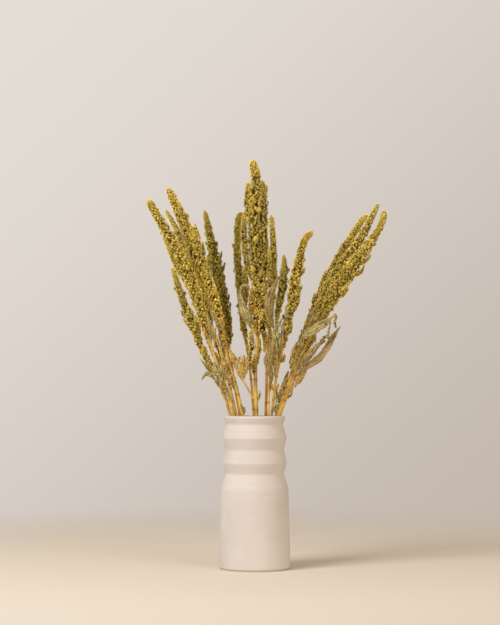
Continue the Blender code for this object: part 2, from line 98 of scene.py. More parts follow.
# Each finish's colours, in the order of its kind
HEAD_COLOURS = {
    "golden": ((58, 38, 2), (196, 178, 76), (238, 208, 94), (232, 174, 74), (255, 250, 196)),
    "olive": ((60, 42, 4), (184, 164, 66), (220, 190, 80), (218, 160, 64), (248, 232, 152)),
}
STEM_COLOURS = {
    "straw": ((230, 193, 92), (177, 134, 50), (112, 80, 34)),
    "russet": ((214, 162, 96), (176, 120, 66), (116, 74, 40)),
}
LEAF_COLOURS = {
    "sage": ((184, 167, 101), (80, 61, 25), (236, 222, 158), (86, 64, 26)),
    "tan": ((206, 168, 94), (114, 80, 34), (238, 206, 130), (92, 56, 20)),
    "dull": ((158, 135, 73), (80, 62, 26), (204, 184, 118), (76, 52, 20)),
    "umber": ((140, 108, 60), (84, 58, 28), (178, 144, 90), (66, 42, 20)),
    "gold": ((214, 176, 90), (124, 88, 32), (242, 214, 134), (98, 62, 20)),
    "khaki": ((166, 141, 86), (102, 78, 40), (198, 172, 112), (98, 70, 32)),
}

# Where each kind of piece starts its random draws
TUFT_SEED = 100
STEM_SEED = 200
TWIG_SEED = 300
LEAF_SEED = 400
VASE_SEED = 500
REMNANT_SEED = 600

# The vase: radius and height of the outer side from the lip down, and each corner's rounding
VASE_SIDE = (
    (46.9, 242.6, 0.6), (48.6, 241.9, 0.5), (49.2, 239.5, 0.4), (44.9, 229.0, 1.6),
    (51.5, 207.4, 1.6), (46.4, 189.0, 2.0), (51.5, 167.9, 1.6), (46.2, 151.2, 1.8),
    (52.6, 131.0, 7.0), (53.8, 126.0, 7.0), (55.6, 60.0, 20.0), (57.0, 3.0, 1.0),
    (54.4, 0.8, 0.6), (54.0, 0.0, 0.0),
)
# The corners of the outer side that the inner wall repeats, the corner at its foot, the
# wall's thickness, the height of the inside floor, and how far its corner is cut
VASE_INSIDE = (0, 3, 4, 5, 6, 7, 8, 10)
VASE_FOOT = 11
VASE_WALL = 4.5
VASE_FLOOR = 6.0
INSIDE_CORNER = 5.0
# The inside's roundings at wall, lip and floor, how near the axis the outline ends, and the
# points round the vase
WALL_ROUNDING = 4.0
LIP_ROUNDING = 1.4
INSIDE_ROUNDING = 3.0
VASE_POLE = 1.0
VASE_SIDES = 120
# How far the vase wavers, the height over which that repeats, and where it starts
VASE_WAVER = 0.10
WAVER_HEIGHT = 60
WAVER_FROM = 4

# The stems below the rim: the foot is the rim's point turned about the vase's axis and moved
# outwards, and a stem runs straight for this far below the rim
FOOT_TURN = math.radians(-90)
FOOT_SPREAD = 1.05
NECK_DROP = 20.0
# Above the rim the stems are this much thicker than the plain solids, which keep clear of
# each other in the neck, and the heights between which they grow to that
STEM_SWELL = 0.24
SWELL_HEIGHTS = (232, 246)
# A stem's sides, the height of its rows, and how far it reaches into its head
STEM_SIDES = 12
STEM_ROW = 3.2
STEM_IN_HEAD = 12
# In shares of a stem's taper: its middle radius, its ribs and finer ribs with their number
# and height, its slow waves and its knots
STEM_BODY = 0.96
STEM_RIBS = (5, 0.055)
STEM_FINE_RIBS = (9, 0.03)
STEM_WAVES = 0.05
KNOT_HEIGHT = 0.13
# A knot's half length, how far apart knots are, the most that a stem can have, and how far
# its line wanders
KNOT_REACH = 1.6
KNOT_SPACING = (26, 52)
KNOTS = 16
STEM_SWAY = 0.25

# Each stalk: the stem's finish, the head's finish, the stem's width at foot and top, the
# line from rim to tip, the height where the head starts, its widths from there to the
# tip, its number of side spikes, and how warm its colour is from there to the tip, from
# 0 for olive to 1 for orange. Some lines and widths are refined from the part's source
Stalk = namedtuple("Stalk", "stem head thickness line head_from widths spikes warmth")
STALKS = {
    "01": Stalk(
        "straw", "golden", (5.0, 3.8),
        ((-33, -8, 242), (-44.5, -15, 284), (-62, -22, 332), (-77, -29, 378), (-90, -37, 423),
         (-102, -42, 454), (-123, -50, 506), (-137.5, -54, 531), (-153, -58, 557), (-167.5, -62, 582)),
        371, (14, 19, 22, 22, 21, 20, 17.5, 13), 4, (0.75, 0.6, 0.5, 0.5, 0.5, 0.55, 0.45)),
    "02": Stalk(
        "straw", "golden", (5.2, 4.2),
        ((-19, -18, 243), (-30, -18, 290), (-42, -18, 332), (-52, -18, 378), (-66, -18, 427),
         (-84, -18, 475), (-103, -19, 523), (-112.5, -20, 548), (-121, -20, 567), (-137.5, -20, 605)),
        385, (16, 22, 25, 26, 24, 21.5, 18.5, 12), 5, (0.75, 0.65, 0.55, 0.45, 0.45, 0.5, 0.55)),
    "03": Stalk(
        "straw", "golden", (4.4, 3.4),
        ((-29.5, 16, 244), (-33, 18, 259), (-37, 21, 275), (-42, 25, 296), (-49, 30, 322),
         (-56, 36, 349), (-68, 41, 384), (-86, 49, 439), (-105, 56, 488),
         (-123.5, 64, 537), (-133.5, 67, 558), (-145.5, 70, 579)),
        395, (12, 15, 17, 17, 15, 11.5, 7), 3, (0.6, 0.5, 0.45, 0.4, 0.4)),
    "04": Stalk(
        "straw", "olive", (4.6, 3.6),
        ((-24, 32, 242), (-34, 44, 300), (-42, 57, 356), (-45, 65, 395), (-54, 75, 442),
         (-64, 85, 489), (-74, 96, 538), (-83, 105, 582)),
        360, (13, 19, 22, 22.5, 21, 16.5, 7.5), 6, (0.45, 0.3, 0.15, 0.1, 0.1, 0.2, 0.3)),
    "05": Stalk(
        "straw", "golden", (5.0, 3.4),
        ((-38.5, 1, 242), (-42, 4, 251), (-44.5, 4.5, 262), (-47.5, 5.5, 274), (-52, 7, 286), (-60, 9, 299),
         (-71, 11, 318), (-88, 15, 356), (-99, 19, 385),
         (-110, 22, 413), (-122, 26, 447), (-133, 30, 481)),
        336, (9, 15, 17.5, 15.5, 13, 9), 4, (0.5, 0.4, 0.35, 0.4, 0.4)),
    "06": Stalk(
        "straw", "olive", (4.2, 3.2),
        ((-1.4, 22, 242), (-4, 27, 277), (-7, 31, 311), (-14, 37, 362), (-20, 41, 401),
         (-23, 47, 447), (-28, 53, 499), (-28, 58, 542), (-26, 61, 566), (-19, 62, 574)),
        356, (5, 13, 15, 17, 15.5, 15, 11), 3, (0.4, 0.3, 0.25, 0.3, 0.35)),
    "07": Stalk(
        "straw", "golden", (5.4, 4.6),
        ((3, -14, 244), (1, -14, 306), (4, -14, 363), (9, -14, 398), (8, -14, 443),
         (3, -15, 488), (-1, -15, 542), (-1, -15, 579), (2, -15, 602), (2.5, -15, 620), (0, -15, 634),
         (-3.5, -15, 650)),
        376, (19, 26, 27, 26, 24, 23, 23, 20, 15.5), 12,
        (0.95, 0.8, 0.65, 0.5, 0.45, 0.45, 0.45, 0.5, 0.5)),
    "08": Stalk(
        "russet", "golden", (4.2, 3.4),
        ((18, 32, 242), (20, 47, 333), (23, 55, 382), (28, 63, 434), (31, 71, 481),
         (31, 77, 518), (28, 85, 572)),
        384, (11, 14, 16, 14, 13, 9), 2, (0.5, 0.45, 0.4, 0.45, 0.45)),
    "09": Stalk(
        "straw", "olive", (4.0, 3.0),
        ((21, -30, 243), (24, -43, 315), (31, -52, 365), (36, -59, 406), (43, -66, 445),
         (46, -72, 477), (45, -75, 494)),
        396, (9, 14, 16, 14, 6), 1, (0.3, 0.2, 0.2, 0.3)),
    "10": Stalk(
        "straw", "golden", (4.4, 3.4),
        ((27, -10, 246), (33, -26, 297), (43, -41, 345), (54, -58, 398), (60, -70, 437),
         (67.5, -84, 480), (74, -94, 508), (80.5, -98, 520), (89, -100, 528)),
        352, (9, 12, 17, 20.5, 20, 15.5, 10.5), 5, (0.6, 0.55, 0.45, 0.4, 0.45, 0.8, 0.5, 0.6, 0.85)),
    "11": Stalk(
        "straw", "golden", (4.8, 3.8),
        ((40, 5, 242), (57, 7, 292), (78, 10, 348), (96, 12, 401), (116, 14, 443),
         (138, 15, 480), (163, 17, 515), (180, 18, 543), (200, 20, 584)),
        398, (12, 17, 20, 20, 17, 13.5, 7.5), 4, (0.5, 0.35, 0.3, 0.35, 0.3)),
    "12": Stalk(
        "straw", "golden", (5.4, 4.6),
        ((39, -13, 246), (60, -20, 299), (80, -26, 352), (105, -32, 396), (125.5, -37, 435),
         (143, -41, 462), (161.5, -45, 489), (182, -48, 516), (198.5, -52, 543), (204.5, -55, 565)),
        388, (14, 20, 27, 30.5, 28, 21, 16, 13.5, 11), 8, (0.7, 0.55, 0.5, 0.45, 0.45, 0.45, 0.4)),
    "13": Stalk(
        "straw", "golden", (4.6, 3.6),
        ((34, 20, 242), (54, 31, 295), (68, 39, 337), (82, 48, 381), (100, 57, 426),
         (121, 65, 469), (145, 74, 512), (164, 79, 541), (176, 83, 561), (187, 85, 572)),
        352, (8, 10, 14, 16.5, 16, 15, 12), 3, (0.5, 0.5, 0.55, 0.6, 0.7)),
}

# Side branches that grew with a head: the head, the line, the widths and the warmth
Branch = namedtuple("Branch", "stalk line widths warmth")
BRANCHES = (
    Branch("07", ((3, -15, 452), (-8, -16, 470), (-14, -17, 495), (-17, -17, 530), (-17, -17, 567)),
           (9, 13, 14, 12, 7), (0.5, 0.5, 0.5)),
    Branch("07", ((9, -18, 386), (11, -24, 378), (13, -31, 388), (13, -34, 400), (13, -34, 411)),
           (8, 13, 15, 13, 7), (0.75, 0.75, 0.7)),
    Branch("07", ((9, -14, 388), (14, -14, 378), (16, -15, 362), (15, -16, 344)),
           (8, 11, 9, 5), (0.75, 0.7, 0.7)),
    Branch("07", ((-3, -14, 545), (-9.5, -16, 565), (-11, -17, 585), (-10.5, -17, 602), (-10.5, -17, 615)),
           (9, 14, 15, 14, 8), (0.5, 0.5)),
    Branch("07", ((8, -12, 440), (13, -13, 470), (15, -14, 500), (14, -15, 535), (14, -16, 574),
                  (12, -16, 617)),
           (10, 16, 17, 17, 16, 10), (0.55, 0.5, 0.45)),
    Branch("07", ((8, -15, 420), (2, -20, 400), (-1, -21, 385), (2, -20, 372)), (10, 13, 12, 6), (0.75, 0.8)),
    Branch("13", ((74, 43, 368), (80, 40, 380), (83, 36, 396)), (5, 7, 3), (0.5, 0.5)),
    Branch("01", ((-112, -45, 458), (-125, -48, 482), (-135, -50, 506), (-144, -52, 524)),
           (8, 11, 10, 5), (0.5, 0.5)),
    Branch("02", ((-70, -22, 452), (-80, -24, 480), (-88.5, -25, 503), (-94.5, -25, 522), (-101, -25, 544)),
           (9, 15, 17, 16.5, 14.5), (0.55, 0.5)),
    Branch("02", ((-103, -24, 532), (-107.5, -25, 546), (-112.5, -25, 559), (-118, -24, 571),
                  (-123, -23, 584)),
           (9, 12.5, 12.5, 11, 6), (0.5, 0.5)),
    Branch("04", ((-54, 78, 440), (-52, 80, 456), (-53, 83, 474)), (7, 9, 5), (0.35, 0.3)),
    Branch("04", ((-70, 84, 478), (-75, 86, 490), (-78, 88, 506)), (6, 8, 5), (0.3, 0.3)),
    Branch("05", ((-89, 16, 366), (-89, 16, 378), (-92, 16, 392), (-97, 17, 404)), (5, 8, 9, 5), (0.4, 0.4)),
    Branch("06", ((-19, 42, 410), (-15, 41, 426), (-14, 42, 446), (-15, 42, 466), (-17, 44, 482)),
           (6, 11, 12, 12, 6), (0.4, 0.35, 0.3)),
    Branch("06", ((-20, 40, 398), (-17, 36, 386), (-15, 34, 373), (-15, 33, 364)),
           (7, 11, 10, 5), (0.6, 0.75)),
    Branch("07", ((0, -15, 452), (-4, -17, 436), (-5, -18, 420), (-4, -18, 404)), (8, 12, 13, 8), (0.7, 0.8)),
    Branch("08", ((21, 46, 392), (25, 46, 380), (27, 45, 366), (26, 44, 354)), (6, 9, 9, 5), (0.6, 0.6)),
    Branch("08", ((27, 60, 446), (25, 62, 468), (24, 64, 492), (25, 68, 514)), (8, 12, 11, 6), (0.55, 0.45)),
    Branch("10", ((49, -46, 368), (55, -48, 379), (56, -48, 390), (57, -49, 399)), (6, 11, 9, 5), (0.6, 0.6)),
    Branch("03", ((-70, 40, 392), (-80, 30, 420), (-88, 26, 452), (-96, 24, 480)),
           (8, 14, 14, 8), (0.6, 0.5)),
    Branch("02", ((-56, -20, 396), (-54, -23, 387), (-53, -24, 376), (-51, -22, 366)),
           (12, 15, 13, 6), (0.95, 0.9)),
    Branch("10", ((60, -66, 408), (65, -69, 420), (67, -72, 432), (69, -73, 443)),
           (7, 12, 11, 6), (0.5, 0.5)),
)

# Small points that stand out of a head's outline: the head, then lines from root to tip
POINTS = {
    "07": (((-4, -16, 586), (-9, -17, 598), (-11, -17, 615)),
           ((14, -16, 590), (18, -17, 600), (20, -17, 611))),
    "01": (((-129, -48, 500), (-137, -49, 509), (-143, -50, 520)),),
    "02": (((-88, -24, 524), (-92, -25, 536), (-95, -25, 547)),
           ((-80, -22, 500), (-82, -22, 510), (-83, -22, 519))),
    "04": (((-62, 86, 494), (-57, 86, 503), (-54, 86, 513)),
           ((-57, 85, 474), (-52, 85, 484), (-49, 85, 494)),
           ((-56, 83, 456), (-51, 83, 465), (-49, 83, 474)),
           ((-50, 78, 424), (-44, 78, 432), (-42, 78, 441))),
    "12": (((167, -46, 482), (176, -47, 488), (183, -48, 496)),
           ((158, -43, 464), (168, -42, 470), (173, -42, 480)),
           ((137, -38, 432), (142, -38, 436), (146, -38, 442))),
    "13": (((152, 76, 527), (156, 78, 536), (160, 78, 546)), ((137, 71, 504), (140, 72, 512), (143, 72, 522)),
           ((123, 66, 480), (127, 66, 489), (130, 66, 498)), ((110, 60, 458), (113, 61, 468), (116, 61, 478)),
           ((95, 51, 425), (97, 52, 434), (99, 52, 443))),
    "10": (((71, -90, 462), (75, -90, 468), (78, -90, 474)), ((66, -76, 436), (71, -76, 441), (73, -76, 447)),
           ((48, -50, 393), (46, -50, 398), (44, -50, 402))),
    "05": (((-107, 19, 400), (-115, 20, 405), (-119, 20, 412)),
           ((-102, 18, 387), (-110, 19, 392), (-115, 19, 399))),
}

# Florets left on the stems below the heads: the stalk, the lowest and highest height,
# the direction in plan and the distance from the stem's middle, the widths and warmth. The
# distance wanders by a share of itself
Remnant = namedtuple("Remnant", "stalk low high bearing reach widths warmth")
REMNANT_STEPS = 30
REMNANT_WANDER = 0.25
REMNANTS = {
    "left_low": Remnant("05", 316, 350, 200, 0.8, (3, 7, 11, 9), 0.45),
    "left_far": Remnant("05", 314, 354, -25, 4.6, (4, 9, 6, 11, 8), 0.6),
    "left_gold": Remnant("02", 338, 372, 185, 3.8, (4, 9, 10, 7, 8), 0.75),
    "left_knots": Remnant("03", 300, 392, 150, 2.8, (3, 6, 4, 7, 9, 6, 8), 0.6),
    "left_inner": Remnant("03", 284, 345, -60, 3.2, (3, 7, 9, 6, 9, 5), 0.5),
    "left_front": Remnant("02", 284, 332, 180, 3.4, (3, 8, 9, 6, 4), 0.55),
    "left_outer": Remnant("01", 338, 376, 170, 2.2, (4, 6, 7, 8), 0.6),
    "left_back": Remnant("04", 290, 362, 200, 2.5, (3, 6, 5, 8, 10), 0.4),
    "middle_left": Remnant("07", 320, 376, 180, 9.4, (5, 8, 10, 12, 10, 7), 0.65),
    "middle_front": Remnant("07", 308, 342, -140, 3.4, (4, 9, 10, 8, 4), 0.7),
    "middle_right": Remnant("07", 326, 366, -10, 4.2, (3, 5, 7, 7, 4), 0.4),
    "middle_back": Remnant("06", 318, 360, 0, 1.6, (3, 5, 5, 5), 0.4),
    "middle_upper": Remnant("09", 380, 402, 0, 0.6, (4, 8, 10, 10), 0.4),
    "bud_10": Remnant("10", 305, 316, 180, 2.6, (2, 5, 3), 0.7),
    "bud_09": Remnant("09", 283, 293, -30, 2.4, (2, 4.5, 2), 0.8),
    "inner_right": Remnant("10", 325, 357, 180, 3.6, (3, 9, 12, 9), 0.6),
    "right_upper": Remnant("13", 318, 354, 170, 4.4, (4, 10, 12, 10), 0.55),
    "right_florets": Remnant("12", 342, 374, -5, 5.0, (4, 9, 11, 7), 0.5),
    "right_lowest": Remnant("10", 248, 294, 0, 4.6, (3, 4, 3, 4, 6, 4), 0.4),
    "right_lower": Remnant("13", 262, 306, 185, 5.0, (4, 8, 10, 9, 5), 0.35),
    "right_middle": Remnant("11", 328, 400, 10, 4.4, (3, 8, 11, 13, 12), 0.5),
    "right_front": Remnant("12", 330, 390, 165, 4.4, (3, 7, 10, 13), 0.6),
}

# How wide a head's small points are from root to tip
POINT_WIDTHS = (7, 7.5, 6, 2.5)

# Small tufts of florets on the stems: stalk, height, direction in plan, length, width
Tuft = namedtuple("Tuft", "stalk height bearing length width")
TUFTS = {
    "01": Tuft("07", 318, 200, 13, 8),
    "02": Tuft("07", 266, -20, 17, 6),
    "03": Tuft("10", 328, -30, 15, 8),
    "04": Tuft("10", 284, 180, 10, 7),
    "05": Tuft("12", 272, 0, 12, 6),
    "06": Tuft("13", 322, 150, 28, 11),
    "07": Tuft("13", 295, 200, 18, 7.5),
    "08": Tuft("02", 246, -10, 10, 5),
    "09": Tuft("01", 322, 60, 22, 8),
    "10": Tuft("02", 350, 260, 24, 9),
    "11": Tuft("13", 262, 190, 22, 9),
    "12": Tuft("03", 318, 120, 22, 9),
    "13": Tuft("13", 308, -20, 22, 9),
    "14": Tuft("02", 300, 190, 16, 8),
}

# How wide a tuft's foot and tip are, its width's share below the tip, and how warm its
# colour is from foot to tip
TUFT_FOOT = 2.4
TUFT_TIP = 3
TUFT_NARROWING = 0.7
TUFT_WARMTH = (0.65, 0.55)
# How far it leans out as a share of its length, how far its middle bows out as a share of
# its width, and how far it is rooted in the stem
TUFT_LEAN = 0.16
TUFT_BOW = 0.15
TUFT_ROOT = 1.2

# The side shoot: its stalk, the height and direction of its foot, its line, its width, that
# width's share at its end, its sides, and how far it is rooted in the stem
TWIG_STALK = "07"
TWIG_HEIGHT = 268
TWIG_BEARING = 195
TWIG_LINE = ((-10, -18, 284), (-19, -20, 299), (-27, -22, 310), (-30, -22, 318))
TWIG_WIDTH = 2.8
TWIG_TAPER = 0.8
TWIG_SIDES = 10
TWIG_ROOT = 1.5

# Each leaf: its finish, what it grows from, the height and direction of its foot, the
# rib's line, the blade's widths, its turn about the rib at both ends in degrees, the
# depth of its trough and the height of its waves. On the twig a direction of 0 is the
# left side of its end and 1 the right side
Leaf = namedtuple("Leaf", "finish on height bearing rib widths turn trough wave")
LEAVES = {
    "curled_middle": Leaf(
        "sage", "07", 370, 200,
        ((-6, -25, 388), (-15, -32, 406), (-21, -33, 424), (-23, -32, 439), (-18, -30, 449),
         (-10, -29, 447), (-5, -28, 435)),
        (2, 10, 17, 15, 8.5, 5.5, 5, 3), (10, -20), 2.4, 2.0),
    "long_upper": Leaf(
        "dull", "09", 376, 215,
        ((26, -62, 390), (23, -68, 403), (22, -73, 418), (25, -77, 433), (31, -79, 446), (38, -80, 462)),
        (2, 9, 14, 15, 13, 9, 3), (15, -10), 2.6, 1.3),
    "long_lower": Leaf(
        "dull", "09", 288, -100,
        ((27, -50, 301), (23.5, -56, 316), (21.5, -60, 331), (23.5, -62, 346), (23.5, -62, 362)),
        (2, 9, 14, 17, 14, 6), (-30, 20), 3.6, 2.2),
    "crumpled_right": Leaf(
        "sage", "09", 344, -10,
        ((36, -56, 352), (34, -60, 362), (32, -62, 374), (34, -62, 386)),
        (3, 10, 12, 10, 4), (20, 60), 3.4, 2.6),
    "broad_right": Leaf(
        "sage", "12", 345, 235,
        ((73, -37, 364), (81, -43, 373), (91, -46, 378), (100, -49, 384), (110, -51, 388.5),
         (119, -52, 396), (126, -52, 401.5)),
        (3, 9, 13, 15, 16, 14, 9, 2), (30, -15), 2.2, 1.5),
    "cupped_right": Leaf(
        "tan", "12", 376, 200,
        ((88, -39, 388), (89, -44, 398), (94, -47, 407)),
        (3, 12, 15, 5), (20, -20), 3.4, 1.4),
    "slim_right": Leaf(
        "khaki", "12", 302, -40,
        ((77, -34, 317.5), (89.5, -38, 325.5), (102, -41, 335.5), (113.5, -42, 350.5), (123.5, -42, 368),
         (135.5, -42, 385)),
        (4, 8, 11, 12, 10.5, 10, 2), (10, 25), 1.6, 0.9),
    "curled_right": Leaf(
        "khaki", "12", 316, 250,
        ((74, -34, 322), (80, -40, 331), (88, -44, 341), (98, -46, 352), (108, -45, 363)),
        (3, 9, 13, 13, 10, 5), (15, -30), 2.6, 1.8),
    "hooked_left": Leaf(
        "sage", "05", 278, 238,
        ((-57, -2, 291), (-64, -6, 302), (-74, -8, 309), (-80, -7, 306), (-85, -6, 299)),
        (3, 6, 8, 8, 9, 8), (0, 30), 2.0, 1.6),
    "crumpled_left": Leaf(
        "sage", "01", 288, 210,
        ((-54, -25, 297), (-59, -30, 309), (-62, -31, 320), (-65, -31, 330)),
        (3, 11, 15, 13, 6), (30, -40), 3.8, 2.8),
    "thin_left": Leaf(
        "sage", "05", 310, 210,
        ((-75, 4, 317), (-81, 1, 326), (-88, 0, 334)),
        (2, 4, 4, 2), (0, 20), 0.8, 0.3),
    "rolled_centre_left": Leaf(
        "gold", "twig", 0, 0,
        ((-33, -25, 330), (-37, -27, 341), (-41, -27, 352)),
        (3, 12, 11, 5), (30, -30), 3.0, 2.0),
    "crumpled_centre": Leaf(
        "gold", "twig", 0, 1,
        ((-26, -25, 314), (-22, -28, 318), (-18.5, -30, 326), (-17.5, -30, 334), (-17, -28, 340)),
        (3, 8, 10.5, 11.5, 10, 5), (30, -30), 3.6, 3.0),
    "strap_left": Leaf(
        "sage", "01", 355, -40,
        ((-70, -41, 380), (-73, -48, 395), (-75, -51, 413)),
        (2, 4, 5, 3), (10, -20), 0.8, 0.4),
    "strand_left": Leaf(
        "sage", "02", 371, 250,
        ((-58, -33, 392), (-64, -37, 404), (-66, -38, 413)),
        (2, 3, 4, 2), (0, 40), 0.6, 0.4),
}

# Scraps of leaf that the plain solids leave out. The rib's own first point is the foot, on
# the stem or leaf that carries the scrap
Scrap = namedtuple("Scrap", "finish rib widths turn trough wave")
SCRAPS = {
    "left_fold": Scrap(
        "sage", ((-53, -26, 289), (-54, -30, 302), (-57, -33, 314), (-58, -33, 326)),
        (3, 8, 9, 7, 3), (-20, 60), 3.0, 2.4),
    "left_sheath": Scrap(
        "tan", ((-36, -22, 292), (-41, -24, 304), (-44, -26, 317), (-47, -25, 330)),
        (3, 8, 8, 6, 2), (40, -60), 2.4, 2.2),
    "left_low": Scrap(
        "sage", ((-40, -19, 268), (-45, -22, 280), (-50, -24, 290), (-54, -24, 300)),
        (2, 6, 8, 7, 2), (60, -20), 2.4, 2.0),
    "left_inner": Scrap(
        "tan", ((-25, -20, 279), (-29, -22, 291), (-32, -24, 302), (-34, -24, 312)),
        (1.5, 5, 6, 5, 2), (-60, 40), 2.0, 1.8),
    "left_shoulder": Scrap(
        "sage", ((-50, -20, 355), (-54, -24, 367), (-55, -25, 380), (-58, -26, 392)),
        (2, 7, 9, 7, 2), (-30, 40), 2.6, 2.2),
    "centre_fold": Scrap(
        "gold", ((-29, -25, 318), (-27.5, -29, 325), (-25, -32, 332), (-22.5, -32, 338)),
        (3, 6, 7, 7, 3), (30, -30), 2.0, 1.4),
    "centre_low": Scrap(
        "gold", ((-27, -24, 319), (-22, -26, 311), (-16, -28, 302)),
        (3, 8, 9, 3), (-30, 40), 2.6, 2.0),
    "centre_middle": Scrap(
        "tan", ((-17, -28, 303), (-14.5, -32, 313), (-13, -33, 322), (-13.5, -32, 331), (-11, -30, 338)),
        (3, 7, 9, 8, 4), (-20, 50), 2.8, 2.2),
    "right_cup": Scrap(
        "sage", ((86, -42, 384), (88, -50, 394), (94, -53, 402), (100, -51, 400)),
        (3, 11, 14, 6), (-30, 40), 3.6, 2.0),
    "centre_left": Scrap(
        "gold", ((-28, -23, 319), (-32, -27, 329), (-36, -29, 338), (-36, -28, 346)),
        (3, 8, 11, 8, 3), (40, -20), 3.0, 2.0),
    "right_band": Scrap(
        "khaki", ((39, 3, 266), (43, 3, 281), (48, 5, 296), (55, 8, 313)),
        (2, 7, 8, 7, 3), (-30, 50), 2.6, 2.2),
    "right_tooth": Scrap(
        "gold", ((45, 0, 275), (43, -2, 285), (41, -3, 291)), (2, 5, 4, 1), (0, 50), 1.6, 1.2),
    "right_tooth_upper": Scrap(
        "gold", ((52, 0, 285), (49, -2, 294), (47, -3, 301)), (2, 6, 5, 1), (0, -50), 1.6, 1.2),
    "right_bundle": Scrap(
        "gold", ((57, 8, 320), (61, 3, 336), (65, 1, 350), (70, 1, 364)),
        (3, 9, 12, 9, 3), (40, -30), 3.2, 2.4),
    "right_bundle_inner": Scrap(
        "sage", ((66, 8, 318), (68, 0, 333), (71, -2, 346), (75, -1, 358)),
        (2, 7, 8, 7, 2), (-50, 20), 2.6, 2.2),
    "right_hanging": Scrap(
        "tan", ((62, -23, 294), (59, -28, 283), (57, -28, 272)), (2, 5, 6, 1.5), (0, 60), 1.6, 1.4),
    "right_outer": Scrap(
        "tan", ((64, -23, 289), (71, -29, 301), (77.5, -31, 312), (86, -32, 320)),
        (4, 11, 12, 8, 3), (-30, 40), 2.8, 2.6),
    "right_fold": Scrap(
        "sage", ((70, -28, 311), (74, -34, 324), (79, -37, 334), (86, -38, 344)),
        (3, 8, 9, 8, 3), (60, -20), 3.0, 2.2),
    "right_tip": Scrap(
        "umber", ((101, -45, 354), (106, -48, 362), (110, -48, 369), (115, -47, 371)),
        (3, 9, 10, 6, 2), (0, 70), 2.6, 2.4),
    "right_strand": Scrap(
        "sage", ((118, -52, 394), (118, -52, 385), (117, -51, 376), (116, -48, 368), (117, -44, 360)),
        (3, 8, 9, 8, 7, 3), (0, 200), 1.2, 1.2),
    "right_curl": Scrap(
        "tan", ((120, -52, 396), (125, -53, 402), (129, -52, 401), (128, -51, 394), (124, -51, 389)),
        (3, 7, 9, 9, 5), (0, 160), 2.0, 1.8),
    "middle_crumple": Scrap(
        "sage", ((36, -52, 341), (32, -60, 353), (30, -64, 363), (30, -64, 375), (34, -63, 386)),
        (3, 8, 9, 8, 3), (60, -30), 3.2, 2.6),
    "middle_back": Scrap(
        "sage", ((40, -50, 345), (38, -58, 356), (37, -61, 367), (39, -61, 380)),
        (2, 7, 8, 6, 2), (-60, 40), 2.6, 2.4),
    "middle_brown": Scrap(
        "tan", ((31, -42, 311), (32, -46, 329), (31, -48, 348), (31, -50, 366), (32, -50, 380)),
        (3, 9, 11, 10, 8, 3), (30, -40), 2.4, 2.2),
    "middle_loop": Scrap(
        "sage", ((33, -56, 372), (36, -60, 382), (41, -60, 391), (44, -58, 399)),
        (2, 5, 6, 5, 2), (40, -60), 1.8, 1.8),
    "middle_sliver": Scrap(
        "gold", ((41, -50, 350), (43, -56, 359), (42, -58, 368), (44, -58, 378)),
        (2, 5, 7, 5, 2), (-30, 60), 1.8, 1.8),
    "centre_cover": Scrap(
        "gold", ((-20, -26, 326), (-17.5, -29, 318), (-17, -29, 309), (-18, -27, 300)),
        (6, 11, 9, 3), (40, -20), 3.0, 2.6),
    "left_bright": Scrap(
        "gold", ((-46, -22, 300), (-50, -26, 312), (-50, -28, 325), (-53, -28, 340)),
        (2, 7, 9, 8, 3), (-50, 40), 2.6, 2.6),
    "left_bright_low": Scrap(
        "gold", ((-42, -14, 262), (-47, -18, 272), (-52, -20, 283), (-56, -20, 294)),
        (2, 5, 7, 6, 2), (30, -60), 2.0, 2.0),
    "middle_hollow": Scrap(
        "umber", ((-21, -27, 414), (-20, -27, 426), (-17, -26, 436), (-12, -26, 441)),
        (3, 8, 11, 10, 4), (20, -20), 2.0, 2.0),
    "middle_edge": Scrap(
        "sage", ((41, -56, 368), (43, -60, 378), (45, -60, 388), (47, -58, 396)),
        (3, 6, 8, 6, 2), (40, -40), 2.2, 2.2),
    "right_droop": Scrap(
        "umber", ((125, -50, 394), (127, -50, 386), (129, -49, 379)), (2, 5, 5, 2), (0, 60), 1.4, 1.4),
    "rim_right": Scrap(
        "tan", ((33, -12, 247), (35, -14, 255), (38, -14, 263)), (2, 6, 6, 2), (30, -40), 1.8, 1.6),
    "rim_right_inner": Scrap(
        "khaki", ((27, -14, 247), (29, -16, 254), (30, -17, 260)), (2, 5, 5, 2), (-30, 40), 1.4, 1.4),
    "rim_left": Scrap(
        "khaki", ((-17, -20, 246), (-19, -22, 255), (-22, -22, 263)), (2, 5, 5, 2), (30, -40), 1.6, 1.4),
    "left_pale_hook": Scrap(
        "sage", ((-49, -30, 372), (-50, -34, 382), (-53, -35, 388), (-58, -35, 390), (-61, -34, 395)),
        (2, 4, 5, 4, 2), (20, -40), 1.4, 1.0),
    "left_gold_blade": Scrap(
        "gold", ((-62, -28, 358), (-66, -33, 369), (-71, -35, 380), (-74, -35, 392)),
        (2, 6, 7, 5, 2), (-30, 50), 2.0, 1.8),
    "left_gold_strand": Scrap(
        "gold", ((-57, -26, 352), (-59, -31, 362), (-62, -33, 372), (-62, -33, 384)),
        (2, 5, 5, 5, 2), (60, -60), 1.6, 1.6),
}

# One floret: a pod of four sides with one ring between its base and its tip
POD_SIDES = 4
POD_RING_HEIGHT = 0.40
# Each pod corner's share from painted recess shade at its base to a painted highlight at its tip
POD_SHADE_TO_HIGHLIGHT = (0.0,) + (0.55,) * POD_SIDES + (1.0,)

# A cluster is a ball of florets: how far each leans from straight out, its turn, and how
# much both vary
BALL_LEANS = np.radians((5, 52, 80, 52, 80, 52, 80))
BALL_TURNS = np.radians((0, 0, 60, 120, 180, 240, 300))
LEAN_SPREAD = 0.10
TURN_SPREAD = 0.15
# A floret's start, length and width as shares of its ball's radius, and how that varies
FLORET_START = 0.30
FLORET_LENGTH = 0.86
FLORET_WIDTH = 0.74
FLORET_SIZES = (0.86, 1.14)
